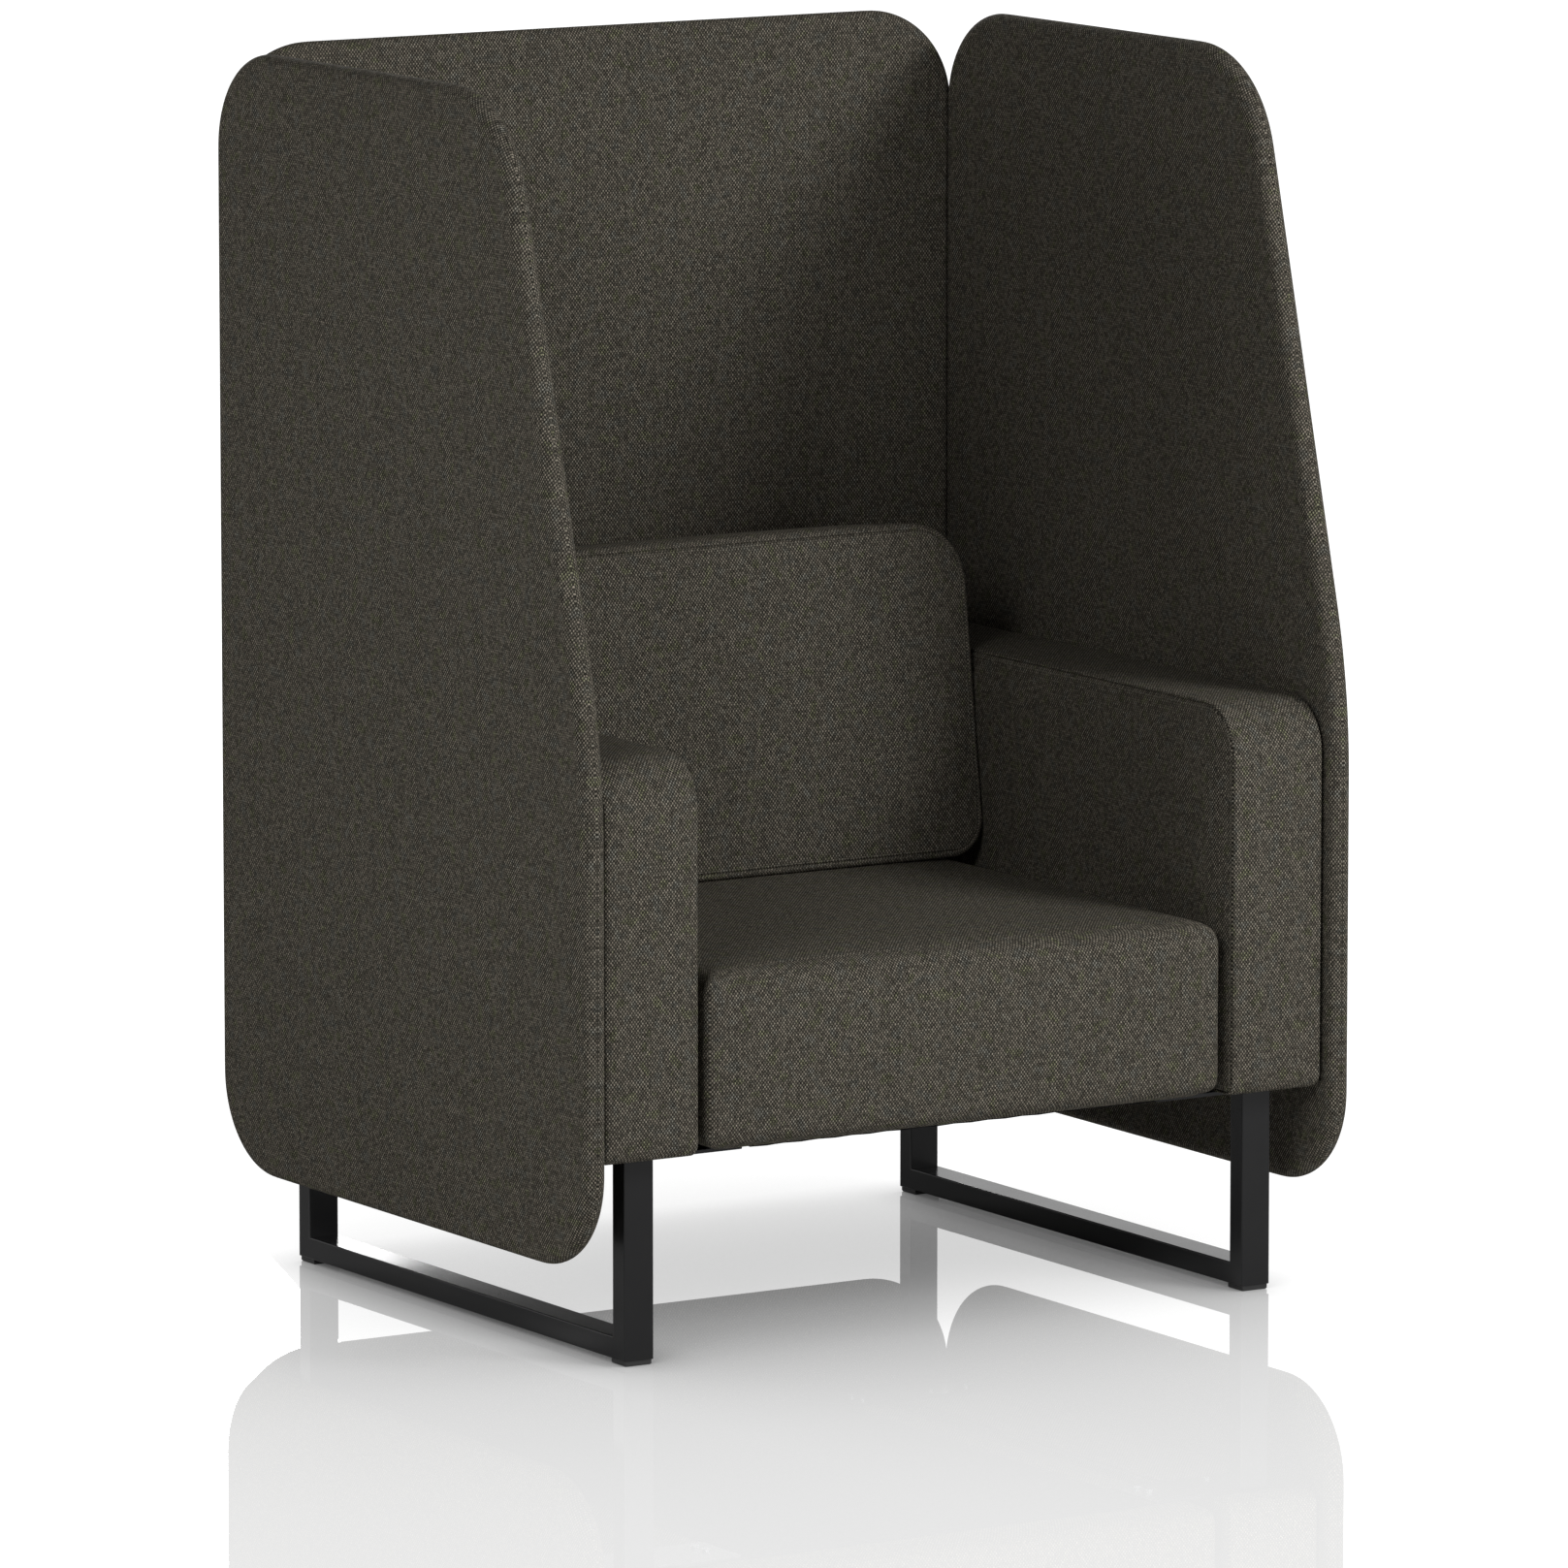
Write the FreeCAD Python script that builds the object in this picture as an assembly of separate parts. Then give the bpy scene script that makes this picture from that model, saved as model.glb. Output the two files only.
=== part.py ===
import FreeCAD, Part
import math
import os

# High-backed one-seat booth: three padded screens round a block armchair on two steel sleds.
# Millimetres, +Z up, +Y to the rear, origin on the floor under the middle of the outside box.

V = FreeCAD.Vector

# Overall sizes
WIDTH = 1010.0
HEIGHT = 1400.0
SIDE_DEPTH = 821.0          # side screens, front edge to rear edge
BACK_STANDOFF = 24.0        # rear face of the back screen behind the side screens
DEPTH = SIDE_DEPTH + BACK_STANDOFF
FRONT = -DEPTH / 2
REAR = DEPTH / 2
SIDE_REAR = FRONT + SIDE_DEPTH

# Screens
SCREEN_THICK = 28.0
SCREEN_EDGE_R = 13.6        # nearly a full round edge
SCREEN_BOTTOM = 114.0
SCREEN_CORNER_R = 112.0
SIDE_TOP_LENGTH = 633.0     # level top edge, rear edge to where the slanted front begins
SIDE_TOP_R = 145.0
KNEE_HEIGHT = 687.0         # where the slanted front turns upright
KNEE_R = 770.0
BACK_WIDTH = 980.0
BOARD_THICK = 16.0
BOARD_INSET = 10.0
SCREEN_IN = WIDTH / 2 - SCREEN_THICK
BACK_FACE = REAR - SCREEN_THICK

# Sled frames of 35 x 25 rectangular tube
TUBE_W = 35.0
TUBE_H = 25.0
TUBE_WALL = 2.0
TUBE_R = 3.0
SLED_X = 409.0              # middle of the tube
SLED_FRONT = -372.0
SLED_REAR = 354.0
GLIDE_H = 6.0
GLIDE_X = 33.0
GLIDE_Y = 30.0
GLIDE_STUD_R = 4.0
PLATE_THICK = 4.0
PLATE_TOP = 234.0
PLATE_IN = 273.0
PLATE_OUT = 455.0
PLATE_DEPTH = 90.0
POST_TOP = PLATE_TOP - PLATE_THICK

# Arms
ARM_IN = 347.0
ARM_OUT = SCREEN_IN
ARM_FRONT = -409.0
ARM_REAR = BACK_FACE
ARM_TOP = 680.0
ARM_BOTTOM = PLATE_TOP
ARM_NOSE_R = 60.0           # round front of the arm top, side view
ARM_EDGE_R = 7.0
ARM_CROWN = 2.0
ARM_FOAM = 25.0
ARM_PLY = 9.0
ARM_TIMBER = 40.0
FRAME_IN = ARM_IN + 23.0
FRAME_OUT = ARM_OUT - 15.0

# Seat
SEAT_HALF = 337.0
SEAT_FRONT = -404.0
SEAT_REAR = 350.0
SEAT_TOP = 438.0
SEAT_CROWN = 5.0
SEAT_BOTTOM = 238.0
SEAT_EDGE_R = 27.0
SEAT_LOWER_R = 18.0
SEAT_CORNER_R = 13.0
RAIL = 30.0
RAIL_TOP = 350.0
RAIL_HALF = 310.0
RAIL_FRONT = SEAT_FRONT + 26.0
RAIL_REAR = SEAT_REAR - 26.0
STRAP_WIDTH = 60.0
STRAP_THICK = 2.0
STRAP_COUNT = 6

# Backrest, leaning back
LEAN = math.radians(7.8)
BACK_HALF = 343.5
BACK_BOTTOM = SEAT_TOP + SEAT_CROWN + 0.5
BACK_TOP = 831.0
BACK_FRONT_AT_FLOOR = 27.0  # where the front plane, run on down, would meet the floor
BACK_THICK = 130.0
BACK_TOP_R = 72.0
BACK_LOW_R = 45.0
BACK_EDGE_R = 10.0
BACK_CROWN = 6.0
PANEL_THICK = 15.0
PANEL_INSET = 45.0
BRACKET_SEAT = 213.0        # rear of the bearer that carries the bars
BRACKET_X = 190.0
BRACKET_W = 50.0
BRACKET_THICK = 6.0
BRACKET_LOW = 262.0
BRACKET_HIGH = 690.0

# Fasteners
BOLT_R = 4.0
BOLT_HEAD_R = 7.0
BOLT_HEAD = 5.0
INSERT_R = 6.0
INSERT_LONG = 13.0
SCREW_R = 2.5
SCREW_HEAD_R = 4.8
SCREW_HEAD = 2.5
SCREW_LONG = 28.0
HOLE_PLAY = 0.2

parts = {}


# Outlines and basic solids
def inset_corners(points, distance):
    """Corners of a convex polygon (anticlockwise) after every side moves inward."""
    count = len(points)
    lines = []
    for i in range(count):
        (x0, y0), (x1, y1) = points[i], points[(i + 1) % count]
        length = math.hypot(x1 - x0, y1 - y0)
        nx, ny = -(y1 - y0) / length, (x1 - x0) / length
        lines.append((nx, ny, nx * x0 + ny * y0 + distance))
    corners = []
    for i in range(count):
        a, b = lines[i - 1], lines[i]
        det = a[0] * b[1] - b[0] * a[1]
        corners.append(((a[2] * b[1] - b[2] * a[1]) / det, (a[0] * b[2] - b[0] * a[2]) / det))
    return corners


def round_wire(points, radii, place, inset=0.0):
    """Closed wire of straight sides and corner arcs; place turns (u, v) into a point in space."""
    corners = inset_corners(points, inset)
    count = len(corners)
    joints = []
    for i, (px, py) in enumerate(corners):
        radius = max(radii[i] - inset, 1.0)
        ax, ay = corners[i - 1]
        bx, by = corners[(i + 1) % count]
        la, lb = math.hypot(ax - px, ay - py), math.hypot(bx - px, by - py)
        ux, uy, wx, wy = (ax - px) / la, (ay - py) / la, (bx - px) / lb, (by - py) / lb
        half = math.acos(max(-1.0, min(1.0, ux * wx + uy * wy))) / 2
        run = radius / math.tan(half)
        mx, my = ux + wx, uy + wy
        reach = (radius / math.sin(half) - radius) / math.hypot(mx, my)
        joints.append((
            place(px + ux * run, py + uy * run),
            place(px + mx * reach, py + my * reach),
            place(px + wx * run, py + wy * run),
        ))
    edges = []
    for i in range(count):
        start, middle, end = joints[i]
        edges.append(Part.Arc(start, middle, end).toShape())
        edges.append(Part.LineSegment(end, joints[(i + 1) % count][0]).toShape())
    return Part.Wire(edges)


def box(x0, x1, y0, y1, z0, z1):
    return Part.makeBox(x1 - x0, y1 - y0, z1 - z0, V(x0, y0, z0))


def rod(start, direction, radius, length):
    return Part.makeCylinder(radius, length, start, direction)


def mirror(shape):
    return shape.mirror(V(0, 0, 0), V(1, 0, 0))


def slab(points, radii, place, travel):
    """Flat sheet with rounded corners, pushed out along travel."""
    return Part.Face(round_wire(points, radii, place)).extrude(travel)


def edge_round(radius, start, towards, steps=4):
    """(depth, inset) pairs of a quarter round that runs out to the face at start."""
    pairs = []
    for i in range(steps + 1):
        angle = math.pi / 2 * i / steps
        pairs.append((start + towards * radius * (1 - math.sin(angle)), radius * (1 - math.cos(angle))))
    return pairs


def soft_body(outline, radii, layers, place):
    """Padded body: a ruled loft through one rounded outline per (depth, inset) layer."""
    wires = []
    for depth, inset in layers:
        points = outline(depth)
        wires.append(round_wire(points, radii, lambda u, v, d=depth: place(u, v, d), inset))
    return Part.makeLoft(wires, True, True)


def save(name, shape):
    parts[name] = shape


def save_pair(name, right_shape):
    """A right-hand piece and its mirror image."""
    save("left_" + name, mirror(right_shape))
    save("right_" + name, right_shape)


# Fasteners
def bolt(head_face, direction, length):
    """Round-headed connector bolt; head_face is where the underside of the head sits."""
    head_start = head_face - direction * BOLT_HEAD
    head = rod(head_start, direction, BOLT_HEAD_R, BOLT_HEAD)
    socket = rod(head_start, direction, BOLT_R * 0.7, BOLT_HEAD * 0.6)
    return head.fuse(rod(head_face, direction, BOLT_R, length)).removeSplitter().cut(socket)


def insert(mouth, direction):
    """Threaded sleeve let into a board from its mouth."""
    sleeve = rod(mouth, direction, INSERT_R, INSERT_LONG)
    return sleeve.cut(rod(mouth, direction, BOLT_R + HOLE_PLAY, INSERT_LONG))


def screw(seat, direction):
    head = rod(seat - direction * SCREW_HEAD, direction, SCREW_HEAD_R, SCREW_HEAD)
    return head.fuse(rod(seat, direction, SCREW_R, SCREW_LONG)).removeSplitter()


def drilled(shape, seats, direction, length, radius):
    for seat in seats:
        shape = shape.cut(rod(seat, direction, radius + HOLE_PLAY, length))
    return shape


SIDE_BOLTS = [(y, z) for y in (-250.0, 220.0) for z in (330.0, 580.0)]
BACK_BOLT_X = (FRAME_IN + FRAME_OUT) / 2
BACK_BOLTS = [(side * BACK_BOLT_X, z) for side in (-1, 1) for z in (330.0, 580.0)]
SIDE_BOLT_SEATS = [V(FRAME_OUT - ARM_PLY, y, z) for y, z in SIDE_BOLTS]
FRAME_FRONT = ARM_FRONT + ARM_FOAM
FRAME_REAR = ARM_REAR - 20.0
FRAME_TOP = ARM_TOP - ARM_FOAM
BACK_BOLT_SEATS = [V(x, FRAME_REAR - ARM_TIMBER, z) for x, z in BACK_BOLTS]
TO_RIGHT, TO_REAR, UP = V(1, 0, 0), V(0, 1, 0), V(0, 0, 1)
SIDE_BOLT_LONG = WIDTH / 2 - 8.0 - (FRAME_OUT - ARM_PLY)
BACK_BOLT_LONG = REAR - 8.0 - (FRAME_REAR - ARM_TIMBER)


# Screens: a board inside a padded cover
def side_corners():
    """Side screen in the (y, z) plane, anticlockwise from the lower front corner."""
    return [
        (FRONT, SCREEN_BOTTOM),
        (SIDE_REAR, SCREEN_BOTTOM),
        (SIDE_REAR, HEIGHT),
        (SIDE_REAR - SIDE_TOP_LENGTH, HEIGHT),
        (FRONT, KNEE_HEIGHT),
    ]


def back_corners():
    half = BACK_WIDTH / 2
    return [(-half, SCREEN_BOTTOM), (half, SCREEN_BOTTOM), (half, HEIGHT), (-half, HEIGHT)]


def screen(points, radii, place, normal, holes, hole_way):
    """Padded cover with a full round edge, and the board it is drawn over."""
    padded = slab(points, radii, lambda u, v: place(u, v, 0.0), normal * SCREEN_THICK)
    rims = [edge for edge in padded.Edges if not is_thickness_edge(edge, normal)]
    padded = padded.makeFillet(SCREEN_EDGE_R, rims)
    skin = (SCREEN_THICK - BOARD_THICK) / 2
    board_wire = round_wire(points, radii, lambda u, v: place(u, v, skin), BOARD_INSET)
    board = Part.Face(board_wire).extrude(normal * BOARD_THICK)
    cover = drilled(padded.cut(board), holes, hole_way, SCREEN_THICK / 2, BOLT_R)
    return cover, drilled(board, holes, hole_way, skin + INSERT_LONG, INSERT_R - HOLE_PLAY)


def is_thickness_edge(edge, normal):
    start, end = edge.Vertexes[0].Point, edge.Vertexes[-1].Point
    return abs((end - start).dot(normal)) > 1.0


def make_screens():
    side_radii = [SCREEN_CORNER_R, SCREEN_CORNER_R, SCREEN_CORNER_R, SIDE_TOP_R, KNEE_R]
    holes = [V(SCREEN_IN, y, z) for y, z in SIDE_BOLTS]
    cover, board = screen(side_corners(), side_radii, lambda u, v, d: V(SCREEN_IN + d, u, v),
                          TO_RIGHT, holes, TO_RIGHT)
    save_pair("side_screen_cover", cover)
    save_pair("side_screen_board", board)
    holes = [V(x, BACK_FACE, z) for x, z in BACK_BOLTS]
    cover, board = screen(back_corners(), [SCREEN_CORNER_R] * 4, lambda u, v, d: V(u, BACK_FACE + d, v),
                          TO_REAR, holes, TO_REAR)
    save("back_screen_cover", cover)
    save("back_screen_board", board)


def make_screen_fixings():
    skin = (SCREEN_THICK - BOARD_THICK) / 2
    bolts = [bolt(seat, TO_RIGHT, SIDE_BOLT_LONG) for seat in SIDE_BOLT_SEATS]
    inserts = [insert(V(SCREEN_IN + skin, y, z), TO_RIGHT) for y, z in SIDE_BOLTS]
    save_pair("side_screen_bolts", Part.Compound(bolts))
    save_pair("side_screen_inserts", Part.Compound(inserts))
    bolts = [bolt(seat, TO_REAR, BACK_BOLT_LONG) for seat in BACK_BOLT_SEATS]
    inserts = [insert(V(x, BACK_FACE + skin, z), TO_REAR) for x, z in BACK_BOLTS]
    save("back_screen_bolts", Part.Compound(bolts))
    save("back_screen_inserts", Part.Compound(inserts))


# Sled frames
def tube(place, travel):
    """Rectangular tube centred on its axis, with rounded corners and a wall."""
    w, h = TUBE_W / 2, TUBE_H / 2
    corners = [(-w, -h), (w, -h), (w, h), (-w, h)]
    outside = Part.Face(round_wire(corners, [TUBE_R] * 4, place)).extrude(travel)
    bore = Part.Face(round_wire(corners, [TUBE_R] * 4, place, TUBE_WALL)).extrude(travel)
    return outside.cut(bore)


def mitre_cutter(corner_y, towards):
    """Wedge on the rail's side of the 45 degree joint at a lower outside corner."""
    reach = 2000.0
    low = GLIDE_H
    points = [V(0, corner_y, low), V(0, corner_y + towards * reach, low + reach),
              V(0, corner_y + towards * reach, low)]
    face = Part.Face(Part.makePolygon(points + points[:1]))
    return face.extrude(V(WIDTH, 0, 0))


def glide_centres():
    """Foot places under the right sled, front then rear."""
    return [SLED_FRONT + 1.0 + GLIDE_Y / 2, SLED_REAR - 1.0 - GLIDE_Y / 2]


def make_sleds():
    front_wedge = mitre_cutter(SLED_FRONT, 1)
    rear_wedge = mitre_cutter(SLED_REAR, -1)
    rail_z = GLIDE_H + TUBE_H / 2
    rail = tube(lambda u, v: V(SLED_X + u, SLED_FRONT, rail_z + v), V(0, SLED_REAR - SLED_FRONT, 0))
    rail = rail.common(front_wedge).common(rear_wedge)
    holes = [V(SLED_X, y, GLIDE_H) for y in glide_centres()]
    rail = drilled(rail, holes, UP, TUBE_WALL + 1.0, GLIDE_STUD_R)
    save_pair("sled_rail", rail)
    for name, y, wedge in (
        ("front", SLED_FRONT + TUBE_H / 2, front_wedge),
        ("rear", SLED_REAR - TUBE_H / 2, rear_wedge),
    ):
        post = tube(lambda u, v, y=y: V(SLED_X + u, y + v, GLIDE_H), UP * (POST_TOP - GLIDE_H))
        post = post.cut(wedge)
        save_pair("sled_%s_post" % name, drilled(post, holes, UP, TUBE_WALL + 1.0, GLIDE_STUD_R))


def make_glides():
    for name, y in zip(("front", "rear"), glide_centres()):
        pad = box(SLED_X - GLIDE_X / 2, SLED_X + GLIDE_X / 2, y - GLIDE_Y / 2, y + GLIDE_Y / 2, 0, GLIDE_H)
        rims = [edge for edge in pad.Edges if edge.BoundBox.ZMax < 0.1]
        pad = pad.makeChamfer(1.2, rims)
        stud = rod(V(SLED_X, y, GLIDE_H - 1.0), UP, GLIDE_STUD_R, 9.0)
        save_pair("%s_glide" % name, pad.fuse(stud).removeSplitter())


# Steel plates that tie sled, arm and seat together
def plate_span(name):
    if name == "front":
        return SLED_FRONT, SLED_FRONT + PLATE_DEPTH
    return SLED_REAR - PLATE_DEPTH, SLED_REAR


def plate_screw_seats(name):
    """Screw places under one right-hand plate: two in the arm rail, two in the seat rail."""
    low, high = plate_span(name)
    inner = high - 22.0 if name == "front" else low + 22.0
    middle = high - 45.0 if name == "front" else low + 45.0
    return [
        V(FRAME_IN + ARM_PLY + 12, inner, POST_TOP),
        V(FRAME_OUT - ARM_PLY - 12, inner, POST_TOP),
        V(RAIL_HALF - RAIL / 2, inner, POST_TOP),
        V(RAIL_HALF - RAIL / 2, middle, POST_TOP),
    ]


def make_plates():
    screws = []
    for name in ("front", "rear"):
        low, high = plate_span(name)
        corners = [(PLATE_IN, low), (PLATE_OUT, low), (PLATE_OUT, high), (PLATE_IN, high)]
        plate = slab(corners, [6.0] * 4, lambda u, v: V(u, v, POST_TOP), UP * PLATE_THICK)
        seats = plate_screw_seats(name)
        save_pair("%s_plate" % name, drilled(plate, seats, UP, PLATE_THICK, SCREW_R))
        screws += [screw(seat, UP) for seat in seats]
    save("plate_screws", Part.Compound(screws + [mirror(one) for one in screws]))


def all_screw_seats():
    return plate_screw_seats("front") + plate_screw_seats("rear")


# Arms: timber frame, two ply faces, padded cover
def arm_corners(depth):
    return [(ARM_FRONT, ARM_BOTTOM), (ARM_REAR, ARM_BOTTOM), (ARM_REAR, ARM_TOP), (ARM_FRONT, ARM_TOP)]


def make_arms():
    layers = edge_round(ARM_EDGE_R, ARM_OUT, -1)[::-1]
    inner = edge_round(ARM_EDGE_R, ARM_IN, 1)
    crown = [(ARM_IN - ARM_CROWN * 0.7, ARM_EDGE_R + 25.0), (ARM_IN - ARM_CROWN, ARM_EDGE_R + 80.0)]
    radii = [16.0, 16.0, 26.0, ARM_NOSE_R]
    padded = soft_body(arm_corners, radii, layers + inner + crown, lambda u, v, d: V(d, u, v))
    hollow = box(FRAME_IN, FRAME_OUT, FRAME_FRONT, FRAME_REAR, ARM_BOTTOM - 1, FRAME_TOP)
    cover = padded.cut(hollow)
    cover = drilled(cover, SIDE_BOLT_SEATS, TO_RIGHT, 100.0, BOLT_R)
    right_back_seats = [seat for seat in BACK_BOLT_SEATS if seat.x > 0]
    cover = drilled(cover, right_back_seats, TO_REAR, 100.0, BOLT_R)
    save_pair("arm_cover", cover)
    for name, x in (("inner", FRAME_IN), ("outer", FRAME_OUT - ARM_PLY)):
        ply = box(x, x + ARM_PLY, FRAME_FRONT, FRAME_REAR, ARM_BOTTOM, FRAME_TOP)
        if name == "outer":
            ply = drilled(ply, SIDE_BOLT_SEATS, TO_RIGHT, ARM_PLY, BOLT_R)
        save_pair("arm_%s_ply" % name, ply)
    save_pair("arm_frame", arm_frame(right_back_seats))


def arm_frame(rear_bolt_seats):
    """Ladder of rails and posts between the two ply faces."""
    x0, x1 = FRAME_IN + ARM_PLY, FRAME_OUT - ARM_PLY
    whole = box(x0, x1, FRAME_FRONT, FRAME_REAR, ARM_BOTTOM, FRAME_TOP)
    middle = (FRAME_FRONT + FRAME_REAR) / 2
    low, high = ARM_BOTTOM + ARM_TIMBER, FRAME_TOP - ARM_TIMBER
    bays = [
        box(x0, x1, FRAME_FRONT + ARM_TIMBER, middle - ARM_TIMBER / 2, low, high),
        box(x0, x1, middle + ARM_TIMBER / 2, FRAME_REAR - ARM_TIMBER, low, high),
    ]
    ladder = whole.cut(bays[0]).cut(bays[1])
    ladder = drilled(ladder, rear_bolt_seats, TO_REAR, ARM_TIMBER, BOLT_R)
    return drilled(ladder, all_screw_seats(), UP, PLATE_THICK + SCREW_LONG, SCREW_R)


# Seat: timber rails, webbing, padded cover and dust sheet
def seat_corners(depth):
    half = SEAT_HALF
    return [(-half, SEAT_FRONT), (half, SEAT_FRONT), (half, SEAT_REAR), (-half, SEAT_REAR)]


def make_seat():
    lower = edge_round(SEAT_LOWER_R, SEAT_BOTTOM, 1)[::-1]
    upper = edge_round(SEAT_EDGE_R, SEAT_TOP, -1)
    belly = [((SEAT_BOTTOM + SEAT_TOP) / 2, -1.5)]
    crown = [(SEAT_TOP + SEAT_CROWN * share, SEAT_EDGE_R + inset)
             for share, inset in ((0.45, 35.0), (0.8, 90.0), (1.0, 170.0))]
    radii = [SEAT_CORNER_R] * 4
    padded = soft_body(seat_corners, radii, lower + belly + upper + crown, lambda u, v, d: V(u, v, d))
    cavity_top = RAIL_TOP + STRAP_THICK
    cavity = box(-RAIL_HALF, RAIL_HALF, RAIL_FRONT, RAIL_REAR, SEAT_BOTTOM - 1, cavity_top)
    bar = back_bracket()
    save("seat_cushion", padded.cut(cavity).cut(bar).cut(mirror(bar)))
    save("seat_frame", seat_frame())
    save("seat_corner_blocks", Part.Compound(corner_blocks()))
    first, last = RAIL_FRONT + RAIL + 35.0, BRACKET_SEAT - RAIL - 35.0
    straps = []
    for i in range(STRAP_COUNT):
        y = first + (last - first) * i / (STRAP_COUNT - 1)
        front, rear = y - STRAP_WIDTH / 2, y + STRAP_WIDTH / 2
        straps.append(box(-RAIL_HALF, RAIL_HALF, front, rear, RAIL_TOP, cavity_top))
    save("seat_webbing", Part.Compound(straps))
    sheet = box(-RAIL_HALF + 2, RAIL_HALF - 2, RAIL_FRONT + 2, RAIL_REAR - 2, PLATE_TOP - 1, PLATE_TOP)
    for name in ("front", "rear"):
        low, high = plate_span(name)
        notch = box(PLATE_IN - 2, RAIL_HALF, low - 10, high + 10, POST_TOP, PLATE_TOP + 1)
        sheet = sheet.cut(notch).cut(mirror(notch))
    save("seat_dust_sheet", sheet)


def seat_frame():
    inside = RAIL_HALF - RAIL
    frame = box(-RAIL_HALF, RAIL_HALF, RAIL_FRONT, RAIL_REAR, PLATE_TOP, RAIL_TOP)
    for start, end in ((RAIL_FRONT + RAIL, BRACKET_SEAT - RAIL), (BRACKET_SEAT, RAIL_REAR - RAIL)):
        frame = frame.cut(box(-inside, inside, start, end, PLATE_TOP, RAIL_TOP))
    middle = (RAIL_FRONT + BRACKET_SEAT) / 2
    bearer = box(-inside, inside, middle - 20, middle + 20, PLATE_TOP, PLATE_TOP + 50)
    frame = frame.fuse(bearer).removeSplitter()
    seats = [seat for seat in all_screw_seats() if seat.x < RAIL_HALF]
    seats += [V(-seat.x, seat.y, seat.z) for seat in seats]
    frame = drilled(frame, seats, UP, PLATE_THICK + SCREW_LONG, SCREW_R)
    return drilled(frame, bracket_bolt_seats()[:4], V(0, -1, 0), RAIL, BOLT_R)


def corner_blocks():
    """Glued triangular blocks in the corners of the rails."""
    leg = 55.0
    blocks = []
    for sx in (-1, 1):
        for y, sy in ((RAIL_FRONT + RAIL, 1), (BRACKET_SEAT - RAIL, -1)):
            x = sx * (RAIL_HALF - RAIL)
            points = [V(x, y, PLATE_TOP), V(x - sx * leg, y, PLATE_TOP), V(x, y + sy * leg, PLATE_TOP)]
            face = Part.Face(Part.makePolygon(points + points[:1]))
            blocks.append(face.extrude(UP * 60.0))
    return blocks


# Backrest: leaning padded block on a ply panel, carried by two bent bars
def back_place(u, v, d):
    """u across, v up the leaning front plane, d to the rear of that plane."""
    y = BACK_FRONT_AT_FLOOR + v * math.sin(LEAN) + d * math.cos(LEAN)
    return V(u, y, v * math.cos(LEAN) - d * math.sin(LEAN))


def back_low(depth, clear=0.0):
    """Height up the plane of the level underside at this depth."""
    return (BACK_BOTTOM + clear + depth * math.sin(LEAN)) / math.cos(LEAN)


def back_corners_at(depth):
    low, high = back_low(depth), BACK_TOP / math.cos(LEAN)
    return [(-BACK_HALF, low), (BACK_HALF, low), (BACK_HALF, high), (-BACK_HALF, high)]


def panel_corners(depth):
    low, high = back_low(depth, PANEL_INSET), BACK_TOP / math.cos(LEAN) - PANEL_INSET
    half = BACK_HALF - PANEL_INSET
    return [(-half, low), (half, low), (half, high), (-half, high)]


def make_backrest():
    radii = [BACK_LOW_R, BACK_LOW_R, BACK_TOP_R, BACK_TOP_R]
    rear = edge_round(BACK_EDGE_R, BACK_THICK, -1)[::-1]
    front = edge_round(BACK_EDGE_R, BACK_CROWN, 1)
    crown = [(BACK_CROWN * (1 - share), BACK_EDGE_R + inset)
             for share, inset in ((0.4, 30.0), (0.75, 75.0), (1.0, 140.0))]
    layers = rear + front + crown
    padded = soft_body(back_corners_at, radii, layers, back_place)
    panel_front = BACK_THICK - PANEL_THICK
    panel = slab(panel_corners(BACK_THICK), [30.0] * 4, lambda u, v: back_place(u, v, panel_front),
                 back_place(0, 0, PANEL_THICK) - back_place(0, 0, 0))
    save("backrest_cushion", padded.cut(panel))
    inward = back_place(0, 0, 0) - back_place(0, 0, 1)
    seats = bracket_bolt_seats()[4:]
    save("backrest_panel", drilled(panel, seats, inward, BRACKET_THICK + PANEL_THICK, BOLT_R))
    make_brackets()


def rear_line(z, extra=0.0):
    """y of the backrest's rear plane at height z, moved back by extra."""
    return BACK_FRONT_AT_FLOOR + z * math.tan(LEAN) + (BACK_THICK + extra) / math.cos(LEAN)


def bend_height():
    """Height where the leaning rear plane meets the upright rear of the bearer."""
    return (BRACKET_SEAT - BACK_FRONT_AT_FLOOR - BACK_THICK / math.cos(LEAN)) / math.tan(LEAN)


def bracket_bolt_seats():
    """Bolt places on the bars' rear faces: four in the seat rail, then four in the back panel."""
    low = [V(side * BRACKET_X, BRACKET_SEAT + BRACKET_THICK, z) for side in (-1, 1) for z in (285.0, 325.0)]
    high = [V(side * BRACKET_X, rear_line(z, BRACKET_THICK), z) for side in (-1, 1) for z in (560.0, 650.0)]
    return low + high


def back_bracket():
    """Right-hand flat bar: upright behind the bearer, then bent to lean with the backrest."""
    bend = bend_height()
    left = BRACKET_X - BRACKET_W / 2
    points = [
        V(left, BRACKET_SEAT, BRACKET_LOW),
        V(left, BRACKET_SEAT, bend),
        V(left, rear_line(BRACKET_HIGH), BRACKET_HIGH),
        V(left, rear_line(BRACKET_HIGH, BRACKET_THICK), BRACKET_HIGH),
        V(left, BRACKET_SEAT + BRACKET_THICK, bend - BRACKET_THICK * math.tan(LEAN / 2)),
        V(left, BRACKET_SEAT + BRACKET_THICK, BRACKET_LOW),
    ]
    return Part.Face(Part.makePolygon(points + points[:1])).extrude(V(BRACKET_W, 0, 0))


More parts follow.
